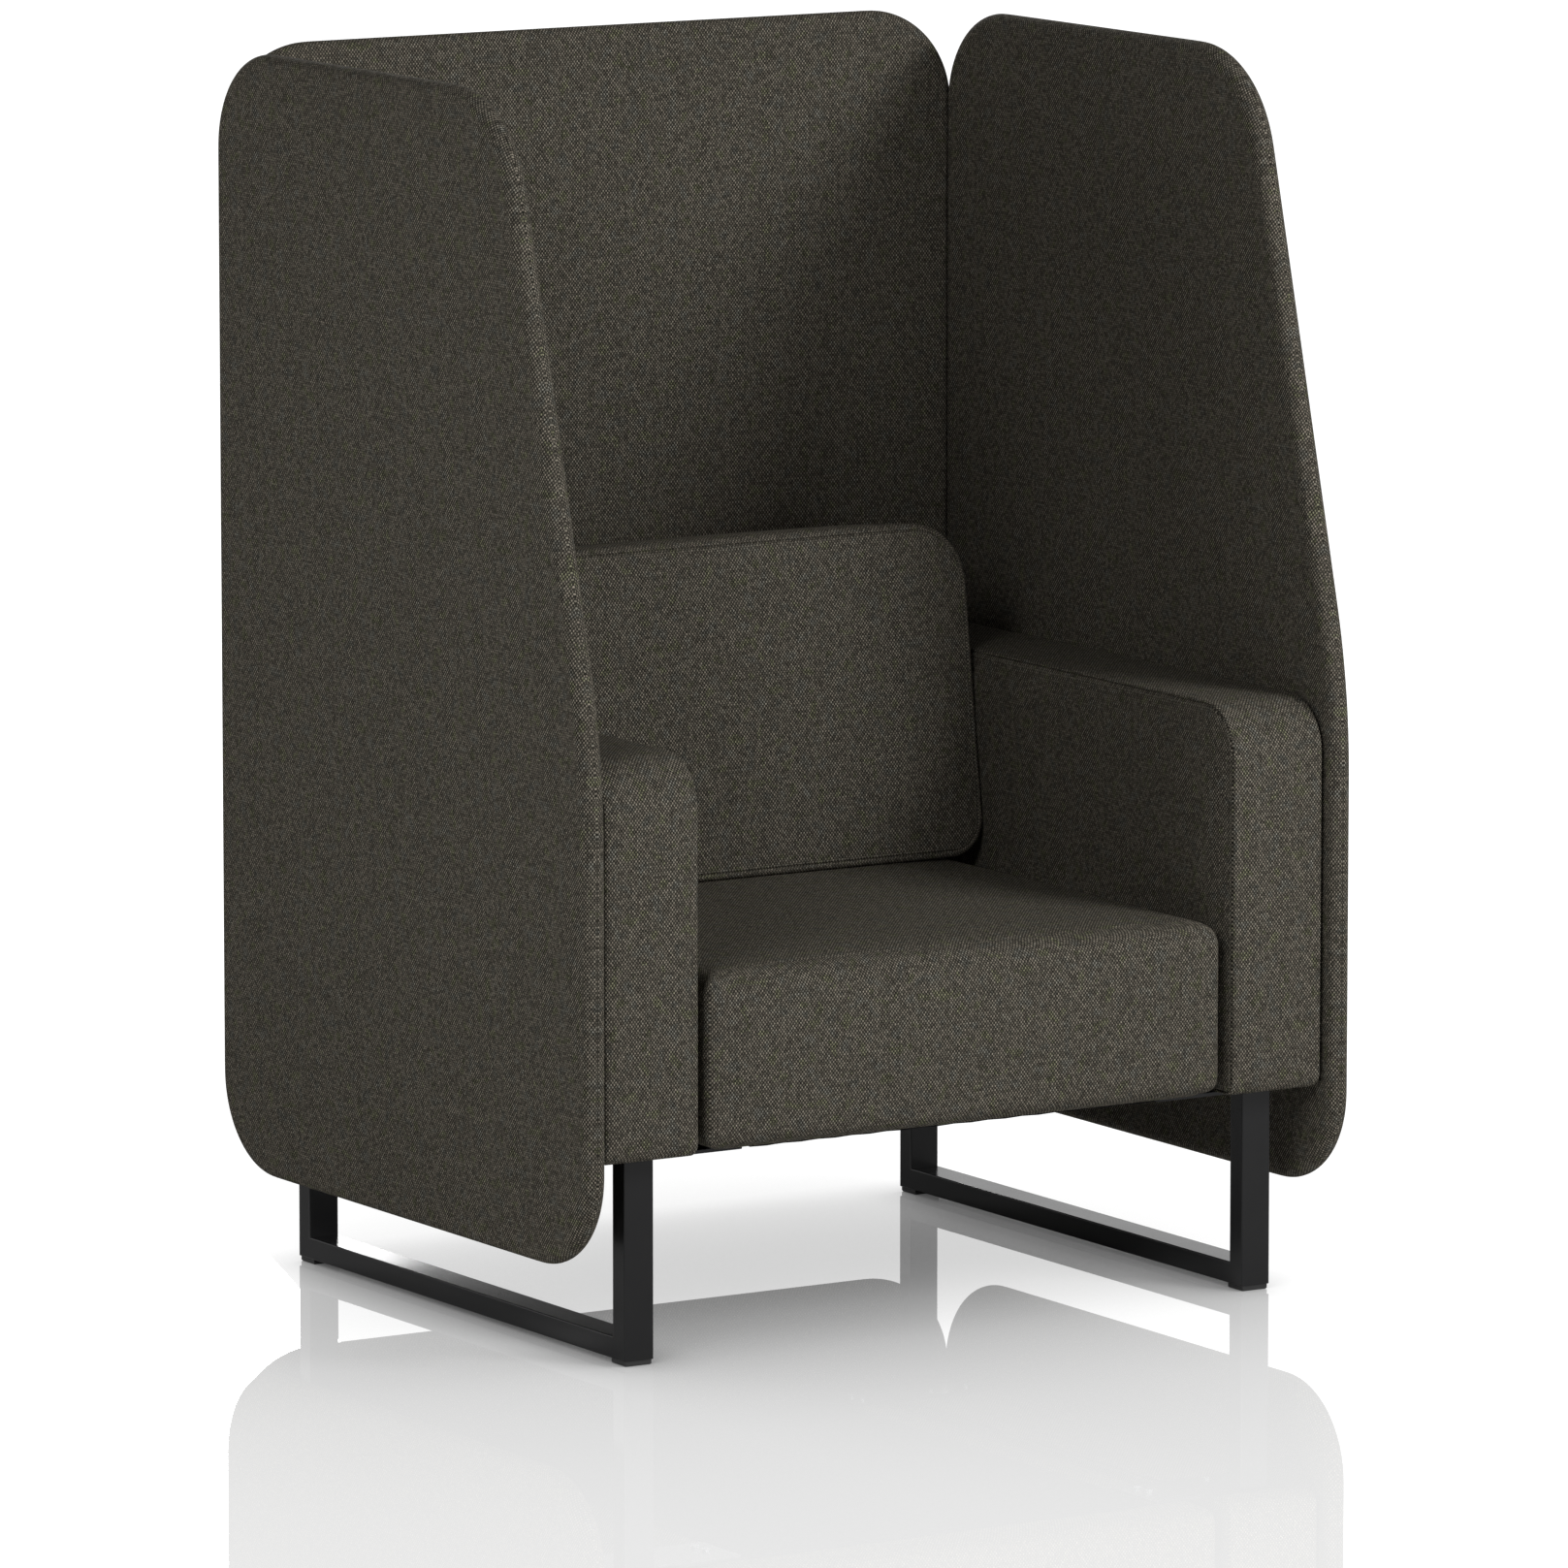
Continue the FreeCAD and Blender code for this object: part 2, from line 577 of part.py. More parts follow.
def make_brackets():
    inward = back_place(0, 0, 0) - back_place(0, 0, 1)
    forward = V(0, -1, 0)
    seats = bracket_bolt_seats()
    bar = back_bracket()
    bar = drilled(bar, [seat for seat in seats[:4] if seat.x > 0], forward, BRACKET_THICK, BOLT_R)
    bar = drilled(bar, [seat for seat in seats[4:] if seat.x > 0], inward, BRACKET_THICK, BOLT_R)
    save_pair("back_bracket", bar)
    bolts = [bolt(seat, forward, BRACKET_THICK + RAIL - 4.0) for seat in seats[:4]]
    bolts += [bolt(seat, inward, BRACKET_THICK + PANEL_THICK - 2.0) for seat in seats[4:]]
    save("back_bracket_bolts", Part.Compound(bolts))


def main():
    make_screens()
    make_screen_fixings()
    make_sleds()
    make_glides()
    make_plates()
    make_arms()
    make_seat()
    make_backrest()
    os.makedirs("parts", exist_ok=True)
    for name, shape in parts.items():
        shape.exportStep("parts/%s.step" % name)
        print(name, shape.isValid(), len(shape.Solids), round(shape.Volume / 1000.0, 1))
    print("nodes", len(parts))


main()
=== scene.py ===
"""Privacy booth sofa: padded screens, cushions, seams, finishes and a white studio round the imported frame."""

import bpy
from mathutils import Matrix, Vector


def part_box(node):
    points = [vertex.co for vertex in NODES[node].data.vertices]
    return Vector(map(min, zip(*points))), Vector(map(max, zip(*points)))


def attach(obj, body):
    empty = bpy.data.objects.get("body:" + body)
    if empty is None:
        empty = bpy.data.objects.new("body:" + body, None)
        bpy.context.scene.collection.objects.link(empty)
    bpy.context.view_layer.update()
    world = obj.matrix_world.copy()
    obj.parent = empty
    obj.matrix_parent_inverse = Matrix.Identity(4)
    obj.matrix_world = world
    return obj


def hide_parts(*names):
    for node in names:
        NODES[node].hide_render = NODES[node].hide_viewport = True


bl_info = {
    "name": "Privacy Booth Sofa",
    "version": (1, 0, 0),
    "blender": (4, 5, 0),
    "location": "View3D > Sidebar > Booth",
    "description": "Dresses the packed booth sofa: padded forms, woven cloth, steel finishes and a studio",
    "category": "Object",
}

import math
from types import SimpleNamespace

import bmesh
import bpy
import numpy as np
from mathutils import Matrix, Vector

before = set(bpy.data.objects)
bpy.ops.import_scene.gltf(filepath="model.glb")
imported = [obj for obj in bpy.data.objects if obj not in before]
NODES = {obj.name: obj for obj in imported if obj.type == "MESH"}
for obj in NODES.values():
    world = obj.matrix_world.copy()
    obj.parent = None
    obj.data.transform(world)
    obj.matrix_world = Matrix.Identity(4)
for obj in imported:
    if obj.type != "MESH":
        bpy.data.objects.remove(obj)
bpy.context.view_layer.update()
SIDE_LOW, SIDE_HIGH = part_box("right_side_screen_cover")
BACK_LOW, BACK_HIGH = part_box("back_screen_cover")
ARM_LOW, ARM_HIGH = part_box("right_arm_cover")
SEAT_LOW, SEAT_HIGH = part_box("seat_cushion")
DUST_LOW, DUST_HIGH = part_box("seat_dust_sheet")
RAIL_LOW, RAIL_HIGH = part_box("right_sled_rail")
POST_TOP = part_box("right_sled_front_post")[1].z
SIDES = {"left": -1.0, "right": 1.0}
MM = 0.001


# Properties that a user would change
def length(name, description, default):
    """A size in metres."""
    return bpy.props.FloatProperty(
        name=name, description=description, default=default, unit="LENGTH", precision=4)


def colour(name, description, default):
    """A linear colour."""
    return bpy.props.FloatVectorProperty(
        name=name, description=description, default=default, subtype="COLOR", size=3, min=0.0, max=1.0)


def amount(name, description, default):
    """A plain number."""
    return bpy.props.FloatProperty(name=name, description=description, default=default, precision=3)


class BoothScreenSizes(bpy.types.PropertyGroup):
    """Sizes of the three padded screens"""

    thickness: length("Thickness", "Across a padded panel", SIDE_HIGH.x - SIDE_LOW.x)
    edge: length("Edge round", "Radius of the padded rim", 13.6 * MM)
    corner: length("Corner", "Radius of the upright corners", 112 * MM)
    front_corner: length("Front top corner", "Radius where the level top turns down the slant", 145 * MM)
    level_top: length("Level top", "Level top edge, from the rear to where the slant begins", 633 * MM)
    knee_height: length("Knee height", "Where the slanted front turns upright", 687 * MM)
    knee: length("Knee", "Radius of the soft bend in the front edge", 770 * MM)


class BoothArmSizes(bpy.types.PropertyGroup):
    """Sizes of the padded arms"""

    inside: length("Inner face", "Distance of the sewn inner face from the middle", 347.5 * MM)
    nose: length("Nose", "Radius at the front of the arm top", 60 * MM)
    rear_top: length("Rear top", "Radius at the rear of the arm top", 26 * MM)
    foot: length("Foot", "Radius at the lower corners", 16 * MM)
    edge: length("Edge round", "Radius of the sewn long edges", 3.8 * MM)
    seam: length("Seam", "How far the seam is drawn in", 3.0 * MM)
    roll: length("Roll", "How far the inner panel stands proud of its seam", 5.5 * MM)
    gap: length("Gap", "Shadow gap between the arm and its screen", 3.6 * MM)
    trim: length("Trim", "How much smaller the form starts before it swells", 1.3 * MM)
    puff: length("Puff", "Furthest the cloth may swell", 2.2 * MM)
    pressure: amount("Pressure", "Air pressure of the cloth simulation", 0.2)


class BoothSeatSizes(bpy.types.PropertyGroup):
    """Sizes of the seat cushion"""

    top: length("Top", "Height of the top at its edge", 435 * MM)
    top_edge: length("Top edge", "Radius of the waterfall edge", 27 * MM)
    lower_edge: length("Lower edge", "Radius of the lower edge", 18 * MM)
    corner: length("Plan corner", "Radius of the upright corners", 13 * MM)
    half: length("Half width", "From the middle to each side before it swells", 339.5 * MM)
    puff: length("Puff", "Furthest the cloth may swell", 8 * MM)
    pressure: amount("Pressure", "Air pressure of the cloth simulation", 0.07)


class BoothBackrestSizes(bpy.types.PropertyGroup):
    """Sizes of the leaning backrest"""

    lean: bpy.props.FloatProperty(
        name="Lean", description="Angle of the front face from upright",
        default=math.radians(7.8), subtype="ANGLE")
    foot: length("Foot", "Where the front plane, run on down, meets the floor", 27 * MM)
    bottom: length("Bottom", "Height of the level underside", 442.2 * MM)
    top: length("Top", "Height of the top of the front plane", 832.5 * MM)
    half: length("Half width", "From the middle to each end", 346 * MM)
    thickness: length("Thickness", "Through the cushion", 130 * MM)
    top_corner: length("Top corner", "Radius of the upper corners", 72 * MM)
    low_corner: length("Lower corner", "Radius of the lower corners", 45 * MM)
    edge: length("Edge round", "Radius of the sewn edges", 8 * MM)
    seam: length("Seam", "How far the seam is drawn in", 3.0 * MM)
    trim: length("Trim", "How much smaller the form starts before it swells", 1.3 * MM)
    puff: length("Puff", "Furthest the cloth may swell", 9 * MM)
    pressure: amount("Pressure", "Air pressure of the cloth simulation", 0.6)


class BoothSledSizes(bpy.types.PropertyGroup):
    """Sizes of the sled frames' rectangular tube"""

    width: length("Width", "Across the tube", 38 * MM)
    edge: length("Edge round", "Radius of the tube's long edges", 1.6 * MM)


class BoothDustSizes(bpy.types.PropertyGroup):
    """Sizes of the dust sheet under the seat"""

    width: length("Width", "Cut width, clear of the steel plates", 536 * MM)
    depth: length("Depth", "Cut length from front to rear", 698 * MM)
    sag: length("Sag", "How far the middle hangs", 2.5 * MM)
    ripple: length("Ripple", "Height of the small pulls between staples", 0.4 * MM)
    staple: length("Staple pitch", "From one staple to the next", 45 * MM)


class BoothFabricLook(bpy.types.PropertyGroup):
    """Yarns of the woven cloth"""

    warp_pitch: length("Warp pitch", "Width of one upright yarn", 2.0 * MM)
    weft_pitch: length("Weft pitch", "Height of one level yarn", 2.5 * MM)
    pale: colour("Pale yarn", "Flecks of the warp", (0.163, 0.149, 0.120))
    olive: colour("Olive yarn", "Patches with a green cast", (0.150, 0.148, 0.095))
    brown: colour("Brown yarn", "Patches with a warm cast", (0.162, 0.142, 0.114))
    slate: colour("Slate yarn", "Patches with a cool cast", (0.146, 0.142, 0.122))
    dark: colour("Dark yarn", "The weft", (0.034, 0.0315, 0.0255))
    thread: colour("Thread", "Stitches along the seams", (0.150, 0.138, 0.110))


class BoothHardLook(bpy.types.PropertyGroup):
    """Colours of the steel, plastic and inner parts"""

    coat: colour("Powder coat", "Sled frames, plates and bars", (0.0080, 0.0080, 0.0084))
    plastic: colour("Glides", "Moulded feet", (0.010, 0.010, 0.010))
    zinc: colour("Zinc", "Bolts, screws and inserts", (0.52, 0.54, 0.56))
    webbing: colour("Webbing", "Elastic straps", (0.030, 0.030, 0.032))
    dust: colour("Dust cloth", "Sheet under the seat", (0.012, 0.012, 0.013))
    timber: colour("Timber", "Rails and blocks", (0.48, 0.31, 0.165))
    board: colour("Board", "Plywood panels", (0.50, 0.34, 0.19))


class BoothStudio(bpy.types.PropertyGroup):
    """Camera, lights and floor"""

    lens: amount("Lens", "Focal length on a 36 mm sensor", 277.05)
    ambient: amount("Ambient", "Strength of the white surround as light", 0.01)
    # white, lift, bright, reach and contact set the floor's painted shadow, an emission seen only by the camera
    white: amount("Floor white", "Share of the floor's light that comes from all round", 0.85)
    gloss: amount("Floor gloss", "Mirror strength of the floor", 0.45)
    lift: amount("Shadow lift", "Brightness of the deepest soft shadow", 0.16)
    bright: amount("Floor bright", "Brightness of the open floor before its mirror coat", 0.86)
    reach: length("Shadow reach", "How far the soft shadow round the sofa spreads", 4.0)
    contact: length("Contact shadow", "How far the darker shadow under the sled rails spreads", 70 * MM)


# Loops, patches and skins
LEAST_ROUND = 0.35


def corner_loop(corners, radii, arcs, runs, inset):
    """Closed loop round a convex outline, anticlockwise, and its outward directions.

    Every side moves inward by inset. Each corner is then an arc of arcs steps, even in angle, about the
    centre that lies a radius inside both sides, and each side i is a run of runs[i] even steps. A corner
    keeps LEAST_ROUND of its radius. The loop starts at the middle of the first arc."""
    points = np.asarray(corners, float)
    radii = np.asarray(radii, float)
    side = np.roll(points, -1, axis=0) - points
    side /= np.linalg.norm(side, axis=1, keepdims=True)
    inward = np.stack([-side[:, 1], side[:, 0]], axis=1)
    before = np.roll(inward, 1, axis=0)
    meet = (before * inward).sum(axis=1)
    turn = np.arctan2(before[:, 0] * inward[:, 1] - before[:, 1] * inward[:, 0], meet)
    radius = np.maximum(radii - inset, LEAST_ROUND * radii)
    centre = points + (before + inward) * ((inset + radius) / (1.0 + meet))[:, None]
    angle = turn[:, None] * np.linspace(0.0, 1.0, arcs + 1)
    cos, sin = np.cos(angle), np.sin(angle)
    out = -np.stack([cos * before[:, :1] - sin * before[:, 1:],
                     sin * before[:, :1] + cos * before[:, 1:]], axis=2)
    arc = centre[:, None] + radius[:, None, None] * out
    loop, away = [], []
    for i, steps in enumerate(runs):
        start, end = arc[i, -1], arc[(i + 1) % len(runs), 0]
        share = np.linspace(0.0, 1.0, steps + 1)[1:-1, None]
        loop += [arc[i], start + (end - start) * share]
        away += [out[i], np.repeat(out[i, -1:], steps - 1, axis=0)]
    middle = -(arcs // 2)
    return np.roll(np.concatenate(loop), middle, axis=0), np.roll(np.concatenate(away), middle, axis=0)


def patch_sides(loop, across, up):
    """The sides of a closed loop of 2 (across + up) points, in growing order: low, high, left, right."""
    low = loop[:across + 1]
    right = loop[across:across + up + 1]
    high = loop[across + up:2 * across + up + 1][::-1]
    left = np.concatenate([loop[2 * across + up:], loop[:1]])[::-1]
    return low, high, left, right


def fill_patch(loop, across, up):
    """Coons patch: low to high and left to right blends added, less the blend of the four corners."""
    low, high, left, right = patch_sides(loop, across, up)
    u = np.linspace(0.0, 1.0, across + 1)[None, :, None]
    v = np.linspace(0.0, 1.0, up + 1)[:, None, None]
    level = (1 - v) * low[None] + v * high[None]
    upright = (1 - u) * left[:, None] + u * right[:, None]
    corners = (1 - v) * ((1 - u) * low[0] + u * low[-1]) + v * ((1 - u) * high[0] + u * high[-1])
    return level + upright - corners


def dome(across, up):
    """Swell from 0 at the rim to 1: (1 - p^4)(1 - q^4) with p and q from -1 to 1."""
    p = np.linspace(-1.0, 1.0, across + 1)[None]
    q = np.linspace(-1.0, 1.0, up + 1)[:, None]
    return (1 - p ** 4) * (1 - q ** 4)


def quads_of(grid):
    """Corner values of every quad of a grid, anticlockwise."""
    return np.stack([grid[:-1, :-1], grid[:-1, 1:], grid[1:, 1:], grid[1:, :-1]], axis=2)


def ring_quads(grid):
    """Quads of a grid whose rows close into rings."""
    return quads_of(np.concatenate([grid, grid[:, :1]], axis=1)).reshape(-1, 4)


def cloth_rows(flat, away, layers, wrap):
    """Cloth coordinates of the band, one more column than the loop so that it closes.

    Wrapped cloth goes on from the face: the rim point pushed outward by the girth run so far, up to mid-edge.
    A boxed strip is (length along the outline from mid-front, girth)."""
    steps = np.diff(np.asarray(layers), axis=0)
    girth = np.concatenate([[0.0], np.cumsum(np.hypot(steps[:, 0], steps[:, 1]))])
    if wrap:
        reach = np.minimum(girth, girth[-1] - girth)
        rows = flat[0][None] + away[0][None] * reach[:, None, None]
        return np.concatenate([rows, rows[:, :1]], axis=1)
    outline = flat[int(np.argmin(np.asarray(layers)[:, 1]))]
    closed = np.concatenate([outline, outline[:1]])
    run = np.concatenate([[0.0], np.cumsum(np.linalg.norm(np.diff(closed, axis=0), axis=1))])
    along, round_ = np.broadcast_arrays(run[None], girth[:, None])
    return np.stack([along, round_], axis=2)


def padded_form(corners, radii, arcs, runs, layers, place, crown=(0.0, 0.0), wrap=False, turn_strip=False,
                sewn=0):
    """Closed padded form with cloth coordinates.

    One rounded loop for every (depth, inset) layer is skinned into a band, and a Coons patch closes each
    end, swollen by crown times the dome. corners gives the outline at a depth, and place turns
    (a, b, depth) into points. The front patch's cloth carries on to the row numbered sewn, where the
    band's own cloth starts."""
    pairs = [corner_loop(corners(depth), radii, arcs, runs, inset) for depth, inset in layers]
    flat = [pair[0] for pair in pairs]
    away = [pair[1] for pair in pairs]
    count = len(flat[0])
    across = arcs + runs[0]
    up = count // 2 - across
    depths = [depth for depth, inset in layers]
    rows = np.arange(len(layers) * count).reshape(len(layers), count)
    points = [place(loop[:, 0], loop[:, 1], np.full(count, depth)) for loop, depth in zip(flat, depths)]
    strip = cloth_rows(flat, away, layers, wrap)
    if turn_strip:
        strip = strip[..., ::-1]
    faces = [ring_quads(rows)]
    panel = np.stack(flat[:sewn + 1])
    panel = np.concatenate([panel, panel[:, :1]], axis=1)
    cloth = [quads_of(panel).reshape(-1, 4, 2), quads_of(strip[sewn:]).reshape(-1, 4, 2)]
    used = rows.size
    for layer, way, swell in ((0, -1.0, crown[0]), (len(layers) - 1, 1.0, crown[1])):
        plane = fill_patch(flat[layer], across, up)
        depth = depths[layer] + way * swell * dome(across, up)
        index = np.empty((up + 1, across + 1), int)
        index[1:-1, 1:-1] = used + np.arange((up - 1) * (across - 1)).reshape(up - 1, across - 1)
        index[0], index[-1], index[:, 0], index[:, -1] = patch_sides(rows[layer], across, up)
        inner = place(*(part[1:-1, 1:-1].ravel() for part in (plane[..., 0], plane[..., 1], depth)))
        points.append(inner)
        used += len(inner)
        faces.append(quads_of(index).reshape(-1, 4))
        cloth.append(quads_of(plane).reshape(-1, 4, 2))
    return SimpleNamespace(points=np.concatenate(points), faces=np.concatenate(faces),
                           cloth=np.concatenate(cloth), rows=rows, rear=index)


def round_edge(radius, face, way, degrees, sink=None):
    """(depth, inset) pairs of a quarter round: 0 degrees at the face, 90 at the side.

    depth = face + way (r - (r - sink) cos) and inset = r - (r - sink) sin, where sink draws a row in."""
    angle = np.radians(degrees)
    reach = radius - (np.zeros(len(angle)) if sink is None else np.asarray(sink))
    depth = face + way * (radius - reach * np.cos(angle))
    inset = radius - reach * np.sin(angle)
    return list(zip(depth.tolist(), inset.tolist()))


SEAM_GAP = 1.5 * MM
LEAD_REACH = np.array([60, 46, 34, 24, 15, 9, 4.5]) * MM
STITCH_ROW = len(LEAD_REACH)
SEAM_ROW = STITCH_ROW + 3
SEAM_ROWS = slice(SEAM_ROW - 1, SEAM_ROW + 2)


def sewn_edge(radius, face, seam, roll=0.0):
    """Round edge with a drawn-in seam where it leaves the face.

    Rows lead up to a lip, a groove as deep as seam and SEAM_GAP wide on each side, a lip and the round.
    The panel stands proud of its seam by roll and falls to it as t^3, with t from 0 at the first row to 1
    at the seam."""
    proud = roll * (1 - (1 - LEAD_REACH / LEAD_REACH[0]) ** 3)
    lead = list(zip((face - proud).tolist(), (radius + LEAD_REACH).tolist()))
    lip = [(face - 0.1 * seam - 0.15 * roll, radius + 1.7 * SEAM_GAP), (face, radius + SEAM_GAP)]
    groove = [(face + 0.6 * seam, radius + 0.4 * SEAM_GAP), (face + seam, radius)]
    first = math.degrees(SEAM_GAP / radius)
    degrees = np.concatenate([[0.5 * first, first], np.linspace(1.6 * first, 90.0, 5)])
    sink = np.array([0.6, 0.0, -0.1, 0.0, 0.0, 0.0, 0.0]) * seam
    return lead + lip + groove + round_edge(radius, face, 1.0, degrees, sink)


# Objects
def add_mesh(name, points, faces, cloth=None):
    """Mesh object at the origin with smooth outward faces and, if given, cloth places by face corner."""
    mesh = bpy.data.meshes.new(name)
    mesh.from_pydata(points.tolist(), [], [list(face) for face in faces])
    if cloth is not None:
        layer = mesh.uv_layers.new(name="weave")
        layer.uv.foreach_set("vector", np.asarray(cloth, np.float32).ravel())
    work = bmesh.new()
    work.from_mesh(mesh)
    bmesh.ops.recalc_face_normals(work, faces=work.faces)
    work.to_mesh(mesh)
    work.free()
    mesh.shade_smooth()
    piece = bpy.data.objects.new(name, mesh)
    bpy.context.scene.collection.objects.link(piece)
    return piece


def read_points(mesh):
    """The mesh's points as an array."""
    flat = np.empty(len(mesh.vertices) * 3, np.float32)
    mesh.vertices.foreach_get("co", flat)
    return flat.reshape(-1, 3).astype(float)


def write_points(mesh, points):
    """Moves the mesh's points to an array of places."""
    mesh.vertices.foreach_set("co", points.astype(np.float32).ravel())
    mesh.update()


def dress(piece, material, nodes=()):
    """Finish, body, slot and the nodes that the piece stands for."""
    piece.data.materials.append(material)
    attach(piece, "root")
    if nodes:
        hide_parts(*nodes)


def refine(piece, levels=1):
    """Smooth subdivision, the same in the view and the render."""
    smooth = piece.modifiers.new("refine", "SUBSURF")
    smooth.levels = levels
    smooth.render_levels = levels


SWELL_FRAMES = 20


def puff(piece, held, cap, pressure):
    """Cloth simulation: air pressure swells the cloth, and the held points stay.

    A move of length m is then eased off to cap tanh(m / cap)."""
    mesh = piece.data
    start = read_points(mesh)
    group = piece.vertex_groups.new(name="held")
    group.add(np.unique(held).tolist(), 1.0, "REPLACE")
    cloth = piece.modifiers.new("puff", "CLOTH")
    cloth.settings.quality = 6
    cloth.settings.mass = 0.3
    cloth.settings.tension_stiffness = 25.0
    cloth.settings.compression_stiffness = 25.0
    cloth.settings.shear_stiffness = 15.0
    cloth.settings.bending_stiffness = 2.0
    cloth.settings.vertex_group_mass = group.name
    cloth.settings.use_pressure = True
    cloth.settings.uniform_pressure_force = pressure
    cloth.settings.effector_weights.gravity = 0.0
    cloth.point_cache.frame_start = 1
    cloth.point_cache.frame_end = SWELL_FRAMES
    scene = bpy.context.scene
    for step in range(1, SWELL_FRAMES + 1):
        scene.frame_set(step)
    swollen = read_points(piece.evaluated_get(bpy.context.evaluated_depsgraph_get()).data)
    piece.modifiers.remove(cloth)
    scene.frame_set(1)
    move = swollen - start
    far = np.maximum(np.linalg.norm(move, axis=1, keepdims=True), 1e-9)
    write_points(mesh, start + move / far * cap * np.tanh(far / cap))
    piece.vertex_groups.remove(group)


STITCH_PITCH = 5.5 * MM
STITCH_LENGTH = 0.72
STITCH_THICK = 0.9 * MM
STITCH_RINGS = 7
STITCH_SIDES = 6


def along_loop(run, at, values):
    """Values of a closed loop at lengths along it."""
    return np.stack([np.interp(at, run, values[:, k]) for k in range(3)], axis=1)


def seam_stitches(name, piece, rows):
    """Row of short threads along the stitch row of a sewn form.

    Stitches sit every STITCH_PITCH along the loop. Each is a tube of rings whose radius is half of
    STITCH_THICK times the square root of sin, laid along the loop and lifted along the cloth's outward
    direction."""
    points = read_points(piece.data)
    loop, side = points[rows[STITCH_ROW]], points[rows[STITCH_ROW - 1]]
    closed = np.concatenate([loop, loop[:1]])
    run = np.concatenate([[0.0], np.cumsum(np.linalg.norm(np.diff(closed, axis=0), axis=1))])
    count = int(run[-1] // STITCH_PITCH)
    at = (np.arange(count) + 0.5) * run[-1] / count
    place = along_loop(run, at, closed)
    ahead = along_loop(run, at + MM, closed) - place
    ahead /= np.linalg.norm(ahead, axis=1, keepdims=True)
    wide = along_loop(run, at, np.concatenate([side - loop, (side - loop)[:1]]))
    out = np.cross(ahead, wide)
    out /= np.linalg.norm(out, axis=1, keepdims=True)
    middle = points.mean(axis=0)
    out *= np.sign(((place - middle) * out).sum(axis=1, keepdims=True))
    wide = np.cross(out, ahead)
    share = np.linspace(0.0, math.pi, STITCH_RINGS)
    spin = np.arange(STITCH_SIDES) * 2 * math.pi / STITCH_SIDES
    girth = STITCH_THICK / 2 * np.sqrt(np.maximum(np.sin(share), 0.02))
    lift = STITCH_THICK * (np.sin(share) - 0.75)
    x = np.repeat(-np.cos(share) * STITCH_PITCH * STITCH_LENGTH / 2, STITCH_SIDES)
    y = np.outer(girth, np.cos(spin)).ravel()
    z = np.outer(girth, np.sin(spin)).ravel() + np.repeat(lift, STITCH_SIDES)
    tube = (place[:, None] + ahead[:, None] * x[None, :, None] + wide[:, None] * y[None, :, None]
            + out[:, None] * z[None, :, None])
    grid = np.arange(STITCH_RINGS * STITCH_SIDES).reshape(STITCH_RINGS, STITCH_SIDES)
    first = np.arange(count)[:, None, None] * grid.size
    sides = (first + ring_quads(grid)[None]).reshape(-1, 4).tolist()
    caps = (first + np.stack([grid[0], grid[-1]])[None]).reshape(-1, STITCH_SIDES).tolist()
    return add_mesh(name, tube.reshape(-1, 3), sides + caps)


# Shader arithmetic
class Wire:
    """An output socket of a material; arithmetic on it adds Math nodes."""

    def __init__(self, tree, socket=None):
        self.tree = tree
        self.socket = socket

    def node(self, kind, settings=None, inputs=None, output=0):
        """Adds a node: its settings first, then a value or a link for each named or numbered input."""
        made = self.tree.nodes.new(kind)
        for key, value in (settings or {}).items():
            if key == "stops":
                self.set_stops(made.color_ramp, value)
            else:
                setattr(made, key, value)
        for key, value in (inputs or {}).items():
            if isinstance(value, Wire):
                self.tree.links.new(value.socket, made.inputs[key])
            else:
                made.inputs[key].default_value = value
        return Wire(self.tree, made.outputs[output])

    @staticmethod
    def set_stops(ramp, stops):
        while len(ramp.elements) < len(stops):
            ramp.elements.new(0.5)
        for element, (position, value) in zip(ramp.elements, stops):
            element.position = position
            element.color = (*value, 1.0)

    def also(self, output):
        """Another output of the same node."""
        return Wire(self.tree, self.socket.node.outputs[output])

    def math(self, operation, *others):
        return self.node("ShaderNodeMath", {"operation": operation}, dict(enumerate((self,) + others)))

    def mix(self, low, high):
        """Colour from low at 0 to high at 1."""
        return self.node("ShaderNodeMix", {"data_type": "RGBA"}, {0: self, 6: low, 7: high}, 2)

    def tint(self, shade):
        """A colour times a value."""
        return self.node("ShaderNodeVectorMath", {"operation": "SCALE"}, {0: self, 3: shade})

    def __add__(self, other):
        return self.math("ADD", other)

    def __sub__(self, other):
        return self.math("SUBTRACT", other)

    def __rsub__(self, other):
        return self.node("ShaderNodeMath", {"operation": "SUBTRACT"}, {0: other, 1: self})

    def __mul__(self, other):
        return self.math("MULTIPLY", other)

    __radd__ = __add__
    __rmul__ = __mul__


def new_finish(name, **constants):
    """Material with a Principled shader; the constants are set on its own sockets."""
    material = bpy.data.materials.new(name)
    material.use_nodes = True
    shader = material.node_tree.nodes["Principled BSDF"]
    for key, value in constants.items():
        shader.inputs[key.replace("_", " ")].default_value = value
    return material, Wire(material.node_tree), shader


def feed(shader, **wires):
    """Links wires to the shader's sockets."""
    for key, wire in wires.items():
        wire.tree.links.new(wire.socket, shader.inputs[key.replace("_", " ")])


def rgba(value, factor=1.0):
    """Opaque colour, times a factor."""
    return (*(channel * factor for channel in value), 1.0)


def noise(wire, place, scale, detail=2.0, dimensions="3D"):
    return wire.node("ShaderNodeTexNoise", {"noise_dimensions": dimensions},
                     {"Vector": place, "Scale": scale, "Detail": detail})


def object_place(wire):
    return wire.node("ShaderNodeTexCoord", output="Object")


def bump(height, strength, distance):
    return height.node("ShaderNodeBump", None, {"Strength": strength, "Distance": distance, "Height": height})


